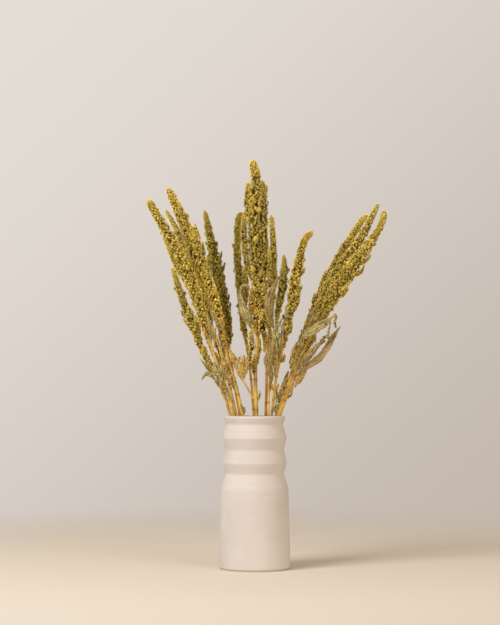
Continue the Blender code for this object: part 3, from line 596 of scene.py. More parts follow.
# How far florets point towards the head's tip, and how much that and their tone vary
FLORET_PULL = 0.30
PULL_SPREAD = 0.10
FLORET_TONE_SPREAD = 0.09
# What a floret's depth is multiplied by where it lies flat, and what is added to that where
# it stands straight out. Flat florets lie in the gaps between balls, so this paints shade
# there and keeps the painted highlight to the tops of the balls
FLAT_LIT_SHARE = 0.36
UPRIGHT_LIT_SHARE = 0.66
# The spacing of clusters where a spike's half width is small and large, the width of the
# surface they are spread over as a share of the outline's, and how far they stray on it
SPACING_HALVES = (2, 10)
CLUSTER_SPACING = (2.5, 5.2)
SEAT_SURFACE = 0.85
SEAT_TURN_SPREAD = 0.10
SEAT_PLACE_SPREAD = 0.5
# The grown side spikes that lie against a head show as long lumps: how wide they are where
# the head's half width is small and large, how much longer than wide, and how far apart
LUMP_HALVES = (3, 14)
LUMP_WIDTHS = (1.6, 4.2)
LUMP_STRETCH = 1.5
LUMP_SPACING = 1.75
# How much lumps vary in turn, place and size, how high they are in the middle, and how
# much more at their upper end
LUMP_TURN_SPREAD = 0.25
LUMP_PLACE_SPREAD = 2.0
LUMP_SIZES = (0.85, 1.2)
LUMP_RISE = (0.85, 0.3)
# A spike's outline is worked out in steps, and its core follows every fourth of them
SPIKE_STEPS = 240
CORE_STEP = 4
# The core is a sleeve inside the clusters that fills the gaps between them; its recess colour is painted
# shade
CORE_SIDES = 10
CORE_TONE = 0.5
# The last stretch of a spike, where it is smoother and paler: its length, its greatest
# share of the spike, the unevenness left at the tip, and how much lighter florets get and
# how much the core's painted shade is lifted
TIP_REACH = 32.0
TIP_SHARE = 0.35
TIP_UNEVENNESS = 0.25
TIP_TONE = 0.15
TIP_CORE_LIGHT = 0.36
# A spike closes over this share of its tip's width and this much more, and its slope is
# kept between these
CLOSE_SHARE = 0.8
CLOSE_MORE = 0.5
SLOPE_LIMITS = (-2.5, 0.6)
# A cluster's ball as a share of the spacing, how much less that is away from the tip, and
# how it varies
BALL_SHARE = 0.64
BALL_LOSS = 0.07
BALL_SIZES = (0.87, 1.17)
# How high clusters stand as a share of the outline, how much deeper they sit between
# lumps, and the least height of a seat
LUMP_HEIGHT = 1.04
LUMP_DEPTH = 0.28
LEAST_SEAT = 0.15
# A cluster's tone between lumps, what a lump's top adds, which paints shade in the hollows
# between lumps and light on their tops, and how much lumps differ in tone and warmth and
# clusters in tone
HOLLOW_SHADE_TONE = 0.30
LUMP_TOP_LIGHT = 0.34
LUMP_TONE_SPREAD = 0.08
LUMP_HEAT_SPREAD = 0.07
CLUSTER_TONE_SPREAD = 0.20
# How a spike is packed: its clusters' spacing as a share of the usual one, the share of
# clusters left out, the core's share of the width, how uneven its outline is, how far the
# core's painted recess shade is lifted, and how much lighter its florets are from its base
# to its tip, partly their own colour and partly painted light and shade
Look = namedtuple("Look", "fine gaps core rough core_light light")
HEAD_PACKING = (1.0, 0.05, 0.62, 0.07)
TUFT_LOOK = Look(0.95, 0.15, 0.5, 0.16, 0.12, (0.0,))
REMNANT_LOOK = Look(0.95, 0.18, 0.45, 0.26, 0.12, (0.14,))
# Each head's lightness from its base to its tip, partly its own colour and partly painted
# light and shade, and how far its core's painted shade is lifted
HEAD_LIGHT = {
    "01": ((0.14, 0.10, 0.10), 0.14),
    "02": ((0.26, 0.42, 0.12, 0.08, 0.06), 0.13),
    "03": ((0.16, 0.08), 0.14),
    "04": ((0.10, 0.16, 0.20), 0.17),
    "05": ((0.08,), 0.14),
    "06": ((0.10,), 0.12),
    "07": ((0.26, 0.04, -0.36, 0.02, 0.12), 0.07),
    "08": ((0.0,), 0.12),
    "09": ((0.0,), 0.12),
    "10": ((-0.06,), 0.12),
    "11": ((0.08,), 0.16),
    "12": ((0.05,), 0.20),
    "13": ((0.05,), 0.14),
}
# A spikelet is a row of balls: how far along it each sits, and its share of the width
SPIKELET_PLACES = np.array((0.22, 0.46, 0.70, 0.92))
SPIKELET_SIZES = np.array((1.05, 1.05, 0.92, 0.66))
# How far a spikelet goes out from its head and along it: what the share of its length, and
# that share squared, are multiplied by
SPIKELET_OUT = (0.915, -0.33)
SPIKELET_ALONG = (0.54, 0.24)
# How far its florets turn out from its line, how its balls vary in size, its tone and how
# that varies, and how much tone and warmth vary along it
SPIKELET_TURN_OUT = 0.9
SPIKELET_BALLS = (0.9, 1.1)
SPIKELET_TONE = 0.55
SPIKELET_TONE_SPREAD = 0.12
SPIKELET_SPREAD = 0.06
# A head has one spikelet for this much of its length times its width. They start at the
# first share of its length, are spread over the second, and stray in their turns
SPIKELET_AREA = 260
SPIKELET_RANGE = (0.03, 0.78)
SPIKELET_TURN_SPREAD = 0.3
# A spikelet's length and width: a share of the head's width there, how much is added, and
# the least and greatest of what that is multiplied by
SPIKELET_LENGTH = (0.22, 2.6, 0.8, 1.3)
SPIKELET_WIDTH = (0.14, 2.8, 0.85, 1.15)
# Spikelets and side spikes are seated at these shares of the half width, and half a side
# spike stands out
SPIKELET_SEAT = 0.58
SIDE_SPIKE_SEAT = 0.36
SIDE_SPIKE_SHARE = 0.5

# Where a leaf starts: how far from its stem's side, how far below the twig's end, and how
# far a scrap's foot is below its rib's first point
LEAF_GAP = 0.2
TWIG_LEAF_DROP = 1.0
SCRAP_DROP = 0.5
# A leaf: its columns of points, its rows for each millimetre and their least and greatest
# number, its widths at both ends, its thickness in the middle, and the share of that which
# its ends keep. Its side veins are waves with this turn for each millimetre, set back by the
# slant at the edge
LEAF_COLUMNS = 13
LEAF_ROWS = 0.9
LEAF_ROW_LIMITS = (26, 62)
LEAF_END_WIDTHS = (1.2, 0.4)
LEAF_THICKNESS = 0.40
LEAF_END_THICKNESS = 0.35
VEIN_TURN = 1.15
VEIN_SLANT = 5.5
# How high the veins stand, how deep the crease at the rib is and how wide as a share of
# the half width
VEIN_HEIGHT = 0.10
CREASE_DEPTH = 0.35
CREASE_WIDTH = 0.12
# A blade's arc: the least width it is worked out for and its greatest half angle
ARC_LEAST_WIDTH = 2
ARC_LIMIT = 1.3
# The edge's nibbles and the pleats as shares of the width, the crumples as a share of the
# waves, and how far waves and crumples turn from foot to tip and from rib to edge
NIBBLES = 0.10
PLEATS = 0.045
CRUMPLES = 0.16
WAVE_TURNS = (22, 1.3)
CRUMPLE_TURNS = (61, 4)


def unit(vectors):
    """Each vector divided by its own length."""
    return vectors / np.linalg.norm(vectors, axis=-1, keepdims=True)


def smooth_line(points, steps=20):
    """A smooth line through the points, each bit a cubic set by its four neighbours."""
    points = np.asarray(points, float)
    points = np.vstack([2 * points[0] - points[1], points, 2 * points[-1] - points[-2]])
    share = np.linspace(0, 1, steps, endpoint=False)[:, None]
    pieces = []
    for first in range(len(points) - 3):
        a, b, c, d = points[first:first + 4]
        bend = 2 * a - 5 * b + 4 * c - d
        twist = 3 * b - 3 * c + d - a
        pieces.append(0.5 * (2 * b + (c - a) * share + bend * share ** 2 + twist * share ** 3))
    return np.vstack(pieces + [points[-2:-1]])


def lengths_along(line):
    """How far along the line each of its points is."""
    steps = np.linalg.norm(np.diff(line, axis=0), axis=1)
    return np.concatenate([[0.0], np.cumsum(steps)])


def places_along(line, distances):
    """The points of the line at these distances along it."""
    whole = lengths_along(line)
    return np.column_stack([np.interp(distances, whole, line[:, axis]) for axis in range(3)])


def frames_along(line, distances):
    """Points, and three crossed directions at each: along the line, right and front.

    Along is the line's own direction. Right is square to it and to the Y axis, and front
    is square to both.
    """
    end = lengths_along(line)[-1]
    behind = np.clip(distances - 1.0, 0, end)
    ahead = np.clip(distances + 1.0, 0, end)
    along = unit(places_along(line, ahead) - places_along(line, behind))
    right = unit(np.cross((0.0, 1.0, 0.0), along))
    front = np.cross(along, right)
    return places_along(line, distances), along, right, front


def spread_evenly(values, share):
    """Values set evenly from 0 to 1, read at each share."""
    return np.interp(share, np.linspace(0, 1, len(values)), values)


def waves(share, count, draw):
    """A smooth random curve: sines of 1 to count turns, each weaker than the one before."""
    turns = np.arange(1, count + 1)
    phases = draw.uniform(0, 2 * math.pi, count)
    return np.sin(2 * math.pi * share[..., None] * turns + phases) @ (1 / turns ** 0.7) / 2


def stalk_line(stalk):
    """The stalk's whole line: foot on the vase's floor, neck, rim, tip."""
    rim = np.array(stalk.line[0], float)
    lean = np.array(stalk.line[1], float) - rim
    lean = lean / lean[2]
    neck = rim - lean * NECK_DROP
    cosine = math.cos(FOOT_TURN) * FOOT_SPREAD
    sine = math.sin(FOOT_TURN) * FOOT_SPREAD
    foot_x = cosine * rim[0] - sine * rim[1]
    foot_y = sine * rim[0] + cosine * rim[1]
    slope = math.hypot(foot_x - neck[0], foot_y - neck[1]) / (neck[2] - VASE_FLOOR)
    foot = np.array([foot_x, foot_y, VASE_FLOOR + GAP + slope * stalk.thickness[0] / 2])
    return smooth_line([foot, (foot + neck) / 2, neck, *stalk.line])


def distance_at_height(line, height):
    """How far along a rising line it reaches a height, read between two of its points."""
    above = int(np.argmax(line[:, 2] >= height))
    share = (height - line[above - 1, 2]) / (line[above, 2] - line[above - 1, 2])
    distance = lengths_along(line)
    return distance[above - 1] + share * (distance[above] - distance[above - 1])


def way_beside(along, bearing):
    """The way out from a line at a direction in plan, in degrees, made square to the line."""
    bearing = math.radians(bearing)
    flat = np.array([math.cos(bearing), math.sin(bearing), 0.0])
    return unit(flat - along * (along @ flat)[..., None])


def ways_out(right, front, angle):
    """The way out at each point of a line, turned by its angle from right towards front."""
    return np.cos(angle)[:, None] * right + np.sin(angle)[:, None] * front


def ring_round(right, front, sides):
    """Ways out spread evenly round every point of a line."""
    turn = np.arange(sides) * 2 * math.pi / sides
    return np.cos(turn)[:, None] * right[:, None] + np.sin(turn)[:, None] * front[:, None]


def stem_seat(stalk, height, bearing, reach):
    """A point beside a stem, which way is out there, and which way the stem runs."""
    line = stalk_line(stalk)
    end = distance_at_height(line, stalk.head_from)
    middle = distance_at_height(line, height)
    centre, ahead = places_along(line, np.array([middle, middle + 2]))
    along = unit(ahead - centre)
    out = way_beside(along, bearing)
    radius = np.interp(middle / end, (0, 1), stalk.thickness) / 2
    return centre + out * (radius + reach), out, along


class Shells:
    """Corners, faces and corner values of one piece, gathered shell by shell."""

    def __init__(self):
        self.corners = []
        self.faces = []
        self.values = []
        self.count = 0

    def add(self, corners, values, *faces):
        """Add one shell. Its faces come in arrays, each of faces with as many sides."""
        self.corners.append(corners)
        self.values.append(values)
        self.faces.extend(sort + self.count for sort in faces)
        self.count += len(corners)


def write_piece(name, shells, material, value_name):
    """One mesh object at the origin, in metres, with a vector of three values a corner."""
    corners = np.vstack(shells.corners) * MM
    sizes = np.concatenate([np.full(len(faces), faces.shape[1]) for faces in shells.faces])
    loops = np.concatenate([faces.ravel() for faces in shells.faces])
    starts = np.concatenate([[0], np.cumsum(sizes)[:-1]])
    mesh = bpy.data.meshes.new(name)
    mesh.vertices.add(len(corners))
    mesh.vertices.foreach_set("co", corners.ravel())
    mesh.loops.add(len(loops))
    mesh.loops.foreach_set("vertex_index", loops.astype(np.int32))
    mesh.polygons.add(len(sizes))
    mesh.polygons.foreach_set("loop_start", starts.astype(np.int32))
    mesh.polygons.foreach_set("use_smooth", np.ones(len(sizes), bool))
    mesh.update(calc_edges=True)
    mesh.validate()
    held = mesh.attributes.new(value_name, "FLOAT_VECTOR", "POINT")
    held.data.foreach_set("vector", np.vstack(shells.values).astype(np.float32).ravel())
    mesh.materials.append(material)
    piece = bpy.data.objects.new(name, mesh)
    bpy.context.scene.collection.objects.link(piece)
    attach(piece, BODY)
    return piece


def add_sleeve(shells, rings, values):
    """A closed tube from its rings of corners, with a pole added at both ends.

    Corner (i, j) is point j of ring i. Each four neighbours make one face, and each end's
    ring is closed by triangles to the middle of that ring. values has three numbers for
    each corner, or what numpy can spread to that, and a pole takes its neighbour's.
    """
    rows, sides = rings.shape[:2]
    corners = np.vstack([rings.reshape(-1, 3), rings[0].mean(0), rings[-1].mean(0)])
    values = np.broadcast_to(values, rings.shape).reshape(-1, 3)
    row, side = np.indices((rows - 1, sides)).reshape(2, -1)
    after = (side + 1) % sides
    quads = np.column_stack([row * sides + side, row * sides + after,
                             (row + 1) * sides + after, (row + 1) * sides + side])
    side = np.arange(sides)
    after = (side + 1) % sides
    first = np.full(sides, rows * sides)
    low = np.column_stack([first, after, side])
    high = np.column_stack([first + 1, (rows - 1) * sides + side, (rows - 1) * sides + after])
    shells.add(corners, np.vstack([values, values[:1], values[-1:]]), quads, np.vstack([low, high]))


def pod_corners():
    """Corners of one floret in shares: (sideways, sideways, along), base first, tip last."""
    turns = np.arange(POD_SIDES) * 2 * math.pi / POD_SIDES
    ring = np.column_stack([np.cos(turns) / 2, np.sin(turns) / 2, np.full(POD_SIDES, POD_RING_HEIGHT)])
    return np.vstack([(0, 0, 0), ring, (0, 0, 1)])


def pod_faces():
    """Triangles of one floret: from its base to its ring, and from there to its tip."""
    side = np.arange(POD_SIDES)
    here = side + 1
    after = (side + 1) % POD_SIDES + 1
    low = np.column_stack([np.zeros(POD_SIDES, int), after, here])
    high = np.column_stack([np.full(POD_SIDES, POD_SIDES + 1), here, after])
    return np.vstack([low, high])


def add_florets(shells, base, axis, length, width, tone, lift, warmth):
    """Many florets at once.

    Corner = base + axis x length x height + two crossed sideways directions x width x
    the pod's own sideways shares. A corner's values are its tone, its depth and its
    warmth; depth is the share of the way from base to tip, less in a cluster's hollow, and
    it sets the painted shade at a floret's base and the painted highlight at its tip.
    """
    pod = pod_corners()
    sideways = unit(np.cross(axis, (0.31, 0.52, 0.79)))
    across = np.cross(axis, sideways)
    corners = (base[:, None] + axis[:, None] * (length[:, None] * pod[:, 2])[..., None]
               + sideways[:, None] * (width[:, None] * pod[:, 0])[..., None]
               + across[:, None] * (width[:, None] * pod[:, 1])[..., None])
    faces = pod_faces() + (np.arange(len(base)) * len(pod))[:, None, None]
    values = np.empty((len(base), len(pod), 3))
    values[..., 0] = tone[:, None]
    values[..., 1] = lift[:, None] * np.array(POD_SHADE_TO_HIGHLIGHT)
    values[..., 2] = warmth[:, None]
    shells.add(corners.reshape(-1, 3), values.reshape(-1, 3), faces.reshape(-1, 3))


def seats_over(distance, half, spacing):
    """Distances and turns of seats spread evenly over a tapered spike, as seeds sit.

    Seat k lies where the surface up to it holds k and a half cells of one spacing
    squared, and is turned by k golden angles. Where the spike closes, its surface is
    steeper and takes more seats.
    """
    steep = np.sqrt(1 + np.gradient(half, distance) ** 2)
    density = 2 * math.pi * half * steep / spacing ** 2
    cells = np.concatenate([[0], np.cumsum((density[1:] + density[:-1]) / 2 * np.diff(distance))])
    order = np.arange(int(cells[-1])) + 0.5
    return np.interp(order, cells, distance), order * GOLDEN_ANGLE


def add_balls(shells, seat, out, along, ball, tone, heat, draw):
    """Clusters of florets, all at once.

    Way = out turned by each floret's lean, towards a side set by its turn. A floret
    starts a share of the ball's radius from the seat along its way, and points along its
    way and a little towards the head's tip.
    """
    shape = (len(seat), len(BALL_LEANS))
    side = unit(np.cross(out, along))
    up = np.cross(side, out)
    spin = draw.uniform(0, 2 * math.pi, shape[0])[:, None] + BALL_TURNS
    spin = spin + draw.normal(0, TURN_SPREAD, shape)
    lean = BALL_LEANS + draw.normal(0, LEAN_SPREAD, shape)
    way = (np.cos(lean)[..., None] * out[:, None]
           + (np.sin(lean) * np.cos(spin))[..., None] * side[:, None]
           + (np.sin(lean) * np.sin(spin))[..., None] * up[:, None])
    pull = FLORET_PULL + draw.normal(0, PULL_SPREAD, shape)
    axis = unit(way + pull[..., None] * along[:, None])
    size = ball[:, None] * draw.uniform(*FLORET_SIZES, shape)
    base = seat[:, None] + way * (FLORET_START * size)[..., None]
    # Painted shade between balls: florets that lie flat get more of the recess colour and less highlight
    lift = np.clip(FLAT_LIT_SHARE + UPRIGHT_LIT_SHARE * np.cos(lean), 0, 1)
    tone = tone[:, None] + draw.normal(0, FLORET_TONE_SPREAD, shape)
    length = (FLORET_LENGTH * size).ravel()
    width = (FLORET_WIDTH * size).ravel()
    add_florets(shells, base.reshape(-1, 3), axis.reshape(-1, 3), length, width, tone.ravel(),
                lift.ravel(), np.repeat(heat, shape[1]))


def lump_relief(place, angle, distance, half, draw):
    """How far each seat stands up on the long lumps of a head, and which lump it is on.

    Lumps sit like the seats, only wider apart. A lump's height over a seat is the root of
    1 - (sideways / its width) squared - (lengthwise / its length) squared, and more
    towards its upper end. A seat takes the highest of all lumps.
    """
    width = np.interp(half, LUMP_HALVES, LUMP_WIDTHS)
    middle, turn = seats_over(distance, half, LUMP_SPACING * width * math.sqrt(LUMP_STRETCH))
    turn = turn + draw.normal(0, LUMP_TURN_SPREAD, len(turn))
    middle = middle + draw.normal(0, LUMP_PLACE_SPREAD, len(turn))
    broad = np.interp(middle, distance, width) * draw.uniform(*LUMP_SIZES, len(turn))
    here = np.interp(place, distance, half)[:, None]
    sideways = (angle[:, None] - turn + math.pi) % (2 * math.pi) - math.pi
    sideways = sideways * here / broad
    lengthwise = (place[:, None] - middle) / (broad * LUMP_STRETCH)
    height = np.sqrt(np.clip(1 - sideways ** 2 - lengthwise ** 2, 0, 1))
    height = height * (LUMP_RISE[0] + LUMP_RISE[1] * lengthwise)
    return height.max(axis=1), height.argmax(axis=1)


def add_spike(shells, line, start, end, widths, warmth, look, draw):
    """A spike of florets along a line: a core painted with the dark recess shade, then
    clusters of florets all over it.

    The outline's half width follows the widths and closes round the tip as an ellipse.
    A cluster's ball is a little over half the spacing there, and its seat one ball below
    the outline, deeper where it lies between two long lumps. A cluster's tone is the
    look's light at its share of the spike, with painted shade in the hollows between lumps
    and painted light on their tops. Over the last stretch the clusters are more alike and
    lighter, and the core's painted shade is less.
    """
    distance = np.linspace(start, end, SPIKE_STEPS)
    share = np.linspace(0, 1, SPIKE_STEPS)
    tip_reach = min(TIP_REACH, TIP_SHARE * (end - start))
    close = widths[-1] * CLOSE_SHARE + CLOSE_MORE
    rounding = np.sqrt(1 - ((distance - end + close) / close).clip(0, 0.99) ** 2)
    half = spread_evenly(widths, share) / 2 * rounding
    slope = np.gradient(half, distance).clip(*SLOPE_LIMITS)

    # The core: a dark sleeve whose recess colour is painted shade seen through the gaps between clusters
    few = distance[::CORE_STEP]
    calm = 1 - np.clip((end - few) / tip_reach, TIP_UNEVENNESS, 1)
    centre, along, right, front = frames_along(line, few)
    ring = ring_round(right, front, CORE_SIDES) * (look.core * half[::CORE_STEP])[:, None, None]
    light = look.core_light + TIP_CORE_LIGHT * calm
    heat = spread_evenly(warmth, share[::CORE_STEP])
    values = np.column_stack([np.full(len(few), CORE_TONE), light, heat])
    add_sleeve(shells, centre[:, None] + ring, values[:, None])

    spacing = look.fine * np.interp(half, SPACING_HALVES, CLUSTER_SPACING)
    place, angle = seats_over(distance, half * SEAT_SURFACE, spacing)
    angle = angle + draw.normal(0, SEAT_TURN_SPREAD, len(place))
    place = np.clip(place + draw.normal(0, SEAT_PLACE_SPREAD, len(place)), start, end)
    kept = draw.random(len(place)) > look.gaps
    angle, place = angle[kept], place[kept]
    count = len(place)
    centre, along, right, front = frames_along(line, place)
    out = unit(ways_out(right, front, angle) - np.interp(place, distance, slope)[:, None] * along)
    half_here = np.interp(place, distance, half)
    fade = np.clip((end - place) / tip_reach, TIP_UNEVENNESS, 1)
    ball = np.interp(place, distance, spacing) * (BALL_SHARE - BALL_LOSS * fade)
    ball = ball * draw.uniform(*BALL_SIZES, count)
    height, lump = lump_relief(place, angle, distance, half, draw)
    relief = LUMP_HEIGHT + fade * (draw.normal(0, look.rough, count) - LUMP_DEPTH * (1 - height))
    seat = centre + out * np.maximum(half_here * relief - ball, LEAST_SEAT * half_here)[:, None]
    kinds = draw.normal(0, 1, (lump.max() + 1, 2))[lump]
    share = (place - start) / (end - start)
    heat = spread_evenly(warmth, share) + LUMP_HEAT_SPREAD * kinds[:, 0]
    uneven = LUMP_TONE_SPREAD * kinds[:, 1] + draw.normal(0, CLUSTER_TONE_SPREAD, count)
    # Painted shade in the hollows between lumps and painted light on their tops
    tone = spread_evenly(look.light, share) + HOLLOW_SHADE_TONE + LUMP_TOP_LIGHT * height
    tone = tone + TIP_TONE * (1 - fade) + fade ** 0.5 * uneven
    add_balls(shells, seat, out, along, ball, tone, heat, draw)


def add_whole_spike(shells, path, widths, warmth, look, draw):
    """A spike from one end of a path to the other."""
    add_spike(shells, path, 0, lengths_along(path)[-1], widths, warmth, look, draw)


def add_spikelets(shells, base, out, along, length, width, heat, draw):
    """Short side spikes, each a row of shrinking clusters.

    A spikelet's middle line leaves its base at an angle and bends towards the head's
    tip: base + length x ((a t + b t squared) out + (c t + d t squared) along), where t is
    the share of its length.
    """
    count = len(base)
    t = SPIKELET_PLACES[:, None]
    a, b = SPIKELET_OUT
    c, d = SPIKELET_ALONG
    reach = length[:, None, None]
    seat = base[:, None] + reach * ((a * t + b * t ** 2) * out[:, None]
                                    + (c * t + d * t ** 2) * along[:, None])
    tangent = unit((a + 2 * b * t) * out[:, None] + (c + 2 * d * t) * along[:, None])
    way = unit(tangent + SPIKELET_TURN_OUT * out[:, None])
    ball = width[:, None] / 2 * SPIKELET_SIZES * draw.uniform(*SPIKELET_BALLS, (count, len(t)))
    tone = draw.normal(SPIKELET_TONE, SPIKELET_TONE_SPREAD, count)[:, None]
    tone = tone + draw.normal(0, SPIKELET_SPREAD, (count, len(t)))
    heat = np.repeat(heat + draw.normal(0, SPIKELET_SPREAD, count), len(t))
    add_balls(shells, seat.reshape(-1, 3), way.reshape(-1, 3), tangent.reshape(-1, 3), ball.ravel(),
              tone.ravel(), heat, draw)


def spike_seats(number, stalk, start, end):
    """The CAD head's side spikes, drawn from the same seed in the same order.

    The numbers are those of the part's source, and the draws that it spends on its relief
    of florets are passed over. Given back are each side spike's share of the head's
    length, its angle, its length and its width.
    """
    draw = random.Random("k" + "head" + number)
    broad = max(stalk.widths)
    count = int(round((end - start) / (4.7 + 0.13 * broad))) + 1
    sides = 6 if broad < 20 else 8
    for _ in range(count * sides):
        draw.random()
    lengths = []
    for _ in range(stalk.spikes):
        lengths.append(draw.uniform(0.85, 1.15))
        for _ in range(24):
            draw.random()
    turn = np.arange(stalk.spikes)
    share = 0.1 + 0.68 * (turn + 0.5) / stalk.spikes
    angle = GOLDEN_ANGLE * turn + 0.6
    width = spread_evenly(stalk.widths, share)
    return share, angle, (0.55 * width + 5) * np.array(lengths), 0.24 * width + 3


def light_beside(stalk, light, path):
    """A head's lightness, partly painted light and shade, at the middle height of a path that
    lies against it.
    """
    tip = stalk.line[-1][2]
    share = (path[len(path) // 2, 2] - stalk.head_from) / (tip - stalk.head_from)
    return (float(spread_evenly(light, share)),)


def add_side_spikes(shells, number, stalk, line, start, end, draw):
    """Spikelets all over a head, then the CAD head's side spikes, shortened.

    Spikelet k of n sits at the range's first share + its second x (k + 0.5) / n of the
    head's length and is turned by k golden angles. Its length and thickness grow with the
    head's width there.
    """
    count = int((end - start) * max(stalk.widths) / SPIKELET_AREA)
    share = SPIKELET_RANGE[0] + SPIKELET_RANGE[1] * (np.arange(count) + 0.5) / count
    angle = GOLDEN_ANGLE * np.arange(count) + draw.normal(0, SPIKELET_TURN_SPREAD, count)
    width = spread_evenly(stalk.widths, share)
    length, thick = (
        (part * width + added) * draw.uniform(least, most, count)
        for part, added, least, most in (SPIKELET_LENGTH, SPIKELET_WIDTH))
    grown = spike_seats(number, stalk, start, end)
    share, angle, length, thick = (
        np.concatenate(pair) for pair in zip((share, angle, length, thick), grown))
    small = np.arange(len(share)) < count
    length = np.where(small, length, SIDE_SPIKE_SHARE * length)
    seat = np.where(small, SPIKELET_SEAT, SIDE_SPIKE_SEAT)[:, None]
    half = spread_evenly(stalk.widths, share)[:, None] / 2
    centre, along, right, front = frames_along(line, start + share * (end - start))
    out = ways_out(right, front, angle)
    add_spikelets(shells, centre + out * half * seat, out, along, length, thick,
                  spread_evenly(stalk.warmth, share), draw)


def head(number, stalk, material):
    """The core spike of a head with its side spikes, its branches and its small points."""
    draw = np.random.default_rng(int(number))
    line = stalk_line(stalk)
    start = distance_at_height(line, stalk.head_from)
    end = lengths_along(line)[-1]
    light, core_light = HEAD_LIGHT[number]
    look = Look(*HEAD_PACKING, core_light, light)
    shells = Shells()
    add_spike(shells, line, start, end, stalk.widths, stalk.warmth, look, draw)
    add_side_spikes(shells, number, stalk, line, start, end, draw)
    beside = [(branch.line, branch.widths, branch.warmth) for branch in BRANCHES if branch.stalk == number]
    beside += [(point, POINT_WIDTHS, stalk.warmth[2:4]) for point in POINTS.get(number, ())]
    for places, widths, warmth in beside:
        path = smooth_line(places)
        look = look._replace(light=light_beside(stalk, light, path))
        add_whole_spike(shells, path, widths, warmth, look, draw)
    piece = write_piece("head_of_florets_" + number, shells, material, "floret")
    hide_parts("head_" + number)


def tuft(number, shape, material):
    """A small tuft of florets that leaves a stem and bends towards the stalk's tip."""
    draw = np.random.default_rng(TUFT_SEED + int(number))
    stalk = STALKS[shape.stalk]
    base, out, along = stem_seat(stalk, shape.height, shape.bearing, GAP + TUFT_FOOT / 2)
    tip = base + (out * TUFT_LEAN + along) * shape.length
    middle = (base + tip) / 2 + out * shape.width * TUFT_BOW
    path = smooth_line([base - out * TUFT_ROOT, middle, tip])
    widths = (TUFT_FOOT, shape.width, shape.width, shape.width * TUFT_NARROWING, TUFT_TIP)
    shells = Shells()
    add_whole_spike(shells, path, widths, TUFT_WARMTH, TUFT_LOOK, draw)
    piece = write_piece("floret_tuft_" + number, shells, material, "floret")
    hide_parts("tuft_" + number)


def remnant(name, shape, material):
    """Florets that cling to one side of a stem, along a part of its length."""
    draw = np.random.default_rng(REMNANT_SEED + int(shape.low + shape.high))
    line = stalk_line(STALKS[shape.stalk])
    low, high = (distance_at_height(line, height) for height in (shape.low, shape.high))
    share = np.linspace(0, 1, REMNANT_STEPS)
    centre, along, _, _ = frames_along(line, np.linspace(low, high, REMNANT_STEPS))
    wander = 1 + REMNANT_WANDER * waves(share, 4, draw)
    path = centre + way_beside(along, shape.bearing) * (shape.reach * wander)[:, None]
    shells = Shells()
    add_whole_spike(shells, path, shape.widths, (shape.warmth,), REMNANT_LOOK, draw)
    piece = write_piece("stem_florets_" + name, shells, material, "floret")


def stem_rings(line, end, thickness, sides, draw):
    """Rings of a ribbed stem.

    Radius = the taper x (1 + shallow ribs round the stem + slow waves along it + a knot's
    bump wherever a leaf once grew). The line itself wanders by a fraction of a millimetre.
    """
    rows = int(end / STEM_ROW)
    distance = np.linspace(0, end, rows)
    share = distance / end
    centre, _, right, front = frames_along(line, distance)
    turn = np.arange(sides) * 2 * math.pi / sides
    knots = np.cumsum(draw.uniform(*KNOT_SPACING, KNOTS))
    bump = np.exp(-((distance[:, None] - knots) / KNOT_REACH) ** 2).sum(1)
    taper = np.interp(share, (0, 1), thickness) / 2
    taper = taper * (1 + STEM_SWELL * np.interp(centre[:, 2], SWELL_HEIGHTS, (0, 1)))
    ribs, rise = STEM_RIBS
    relief = rise * np.cos(ribs * turn + 2 * waves(share, 3, draw)[:, None])
    ribs, rise = STEM_FINE_RIBS
    relief = STEM_BODY + (relief + rise * np.cos(ribs * turn + 18 * share[:, None]))
    relief = relief + STEM_WAVES * waves(share, 9, draw)[:, None] + KNOT_HEIGHT * bump[:, None]
    radius = taper[:, None] * relief
    sway = STEM_SWAY * np.sin(math.pi * share)[:, None]
    centre = centre + right * sway * waves(share, 11, draw)[:, None]
    centre = centre + front * sway * waves(share, 11, draw)[:, None]
    ring = ring_round(right, front, sides)
    values = np.column_stack([distance * MM, bump.clip(0, 1), np.full(rows, draw.random())])
    return centre[:, None] + ring * radius[..., None], values[:, None]


def stem(number, stalk, material):
    """A ribbed stem from the vase's floor into its head."""
    draw = np.random.default_rng(STEM_SEED + int(number))
    line = stalk_line(stalk)
    end = distance_at_height(line, stalk.head_from) + STEM_IN_HEAD
    shells = Shells()
    add_sleeve(shells, *stem_rings(line, end, stalk.thickness, STEM_SIDES, draw))
    piece = write_piece("ribbed_stem_" + number, shells, material, "fibre")
    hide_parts("stem_" + number)


def twig(material):
    """The side shoot, from the stem's side to the leaves at its end."""
    draw = np.random.default_rng(TWIG_SEED)
    base, out, _ = stem_seat(STALKS[TWIG_STALK], TWIG_HEIGHT, TWIG_BEARING, GAP + TWIG_WIDTH / 2)
    line = smooth_line([base - out * TWIG_ROOT, *TWIG_LINE])
    thickness = (TWIG_WIDTH, TWIG_WIDTH * TWIG_TAPER)
    shells = Shells()
    add_sleeve(shells, *stem_rings(line, lengths_along(line)[-1], thickness, TWIG_SIDES, draw))
    piece = write_piece("side_twig", shells, material, "fibre")
    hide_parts("twig_01")


def leaf_foot(name, shape):
    """Where the rib starts: on its own first point, its stem's side or the twig's end."""
    if name in SCRAPS:
        return np.array(shape.rib[0], float) - (0.0, 0.0, SCRAP_DROP)
    if shape.on == "twig":
        side = 1 if shape.bearing else -1
        return np.array(TWIG_LINE[-1], float) + (side * (TWIG_WIDTH / 2), 0.0, -TWIG_LEAF_DROP)
    return stem_seat(STALKS[shape.on], shape.height, shape.bearing, LEAF_GAP)[0]


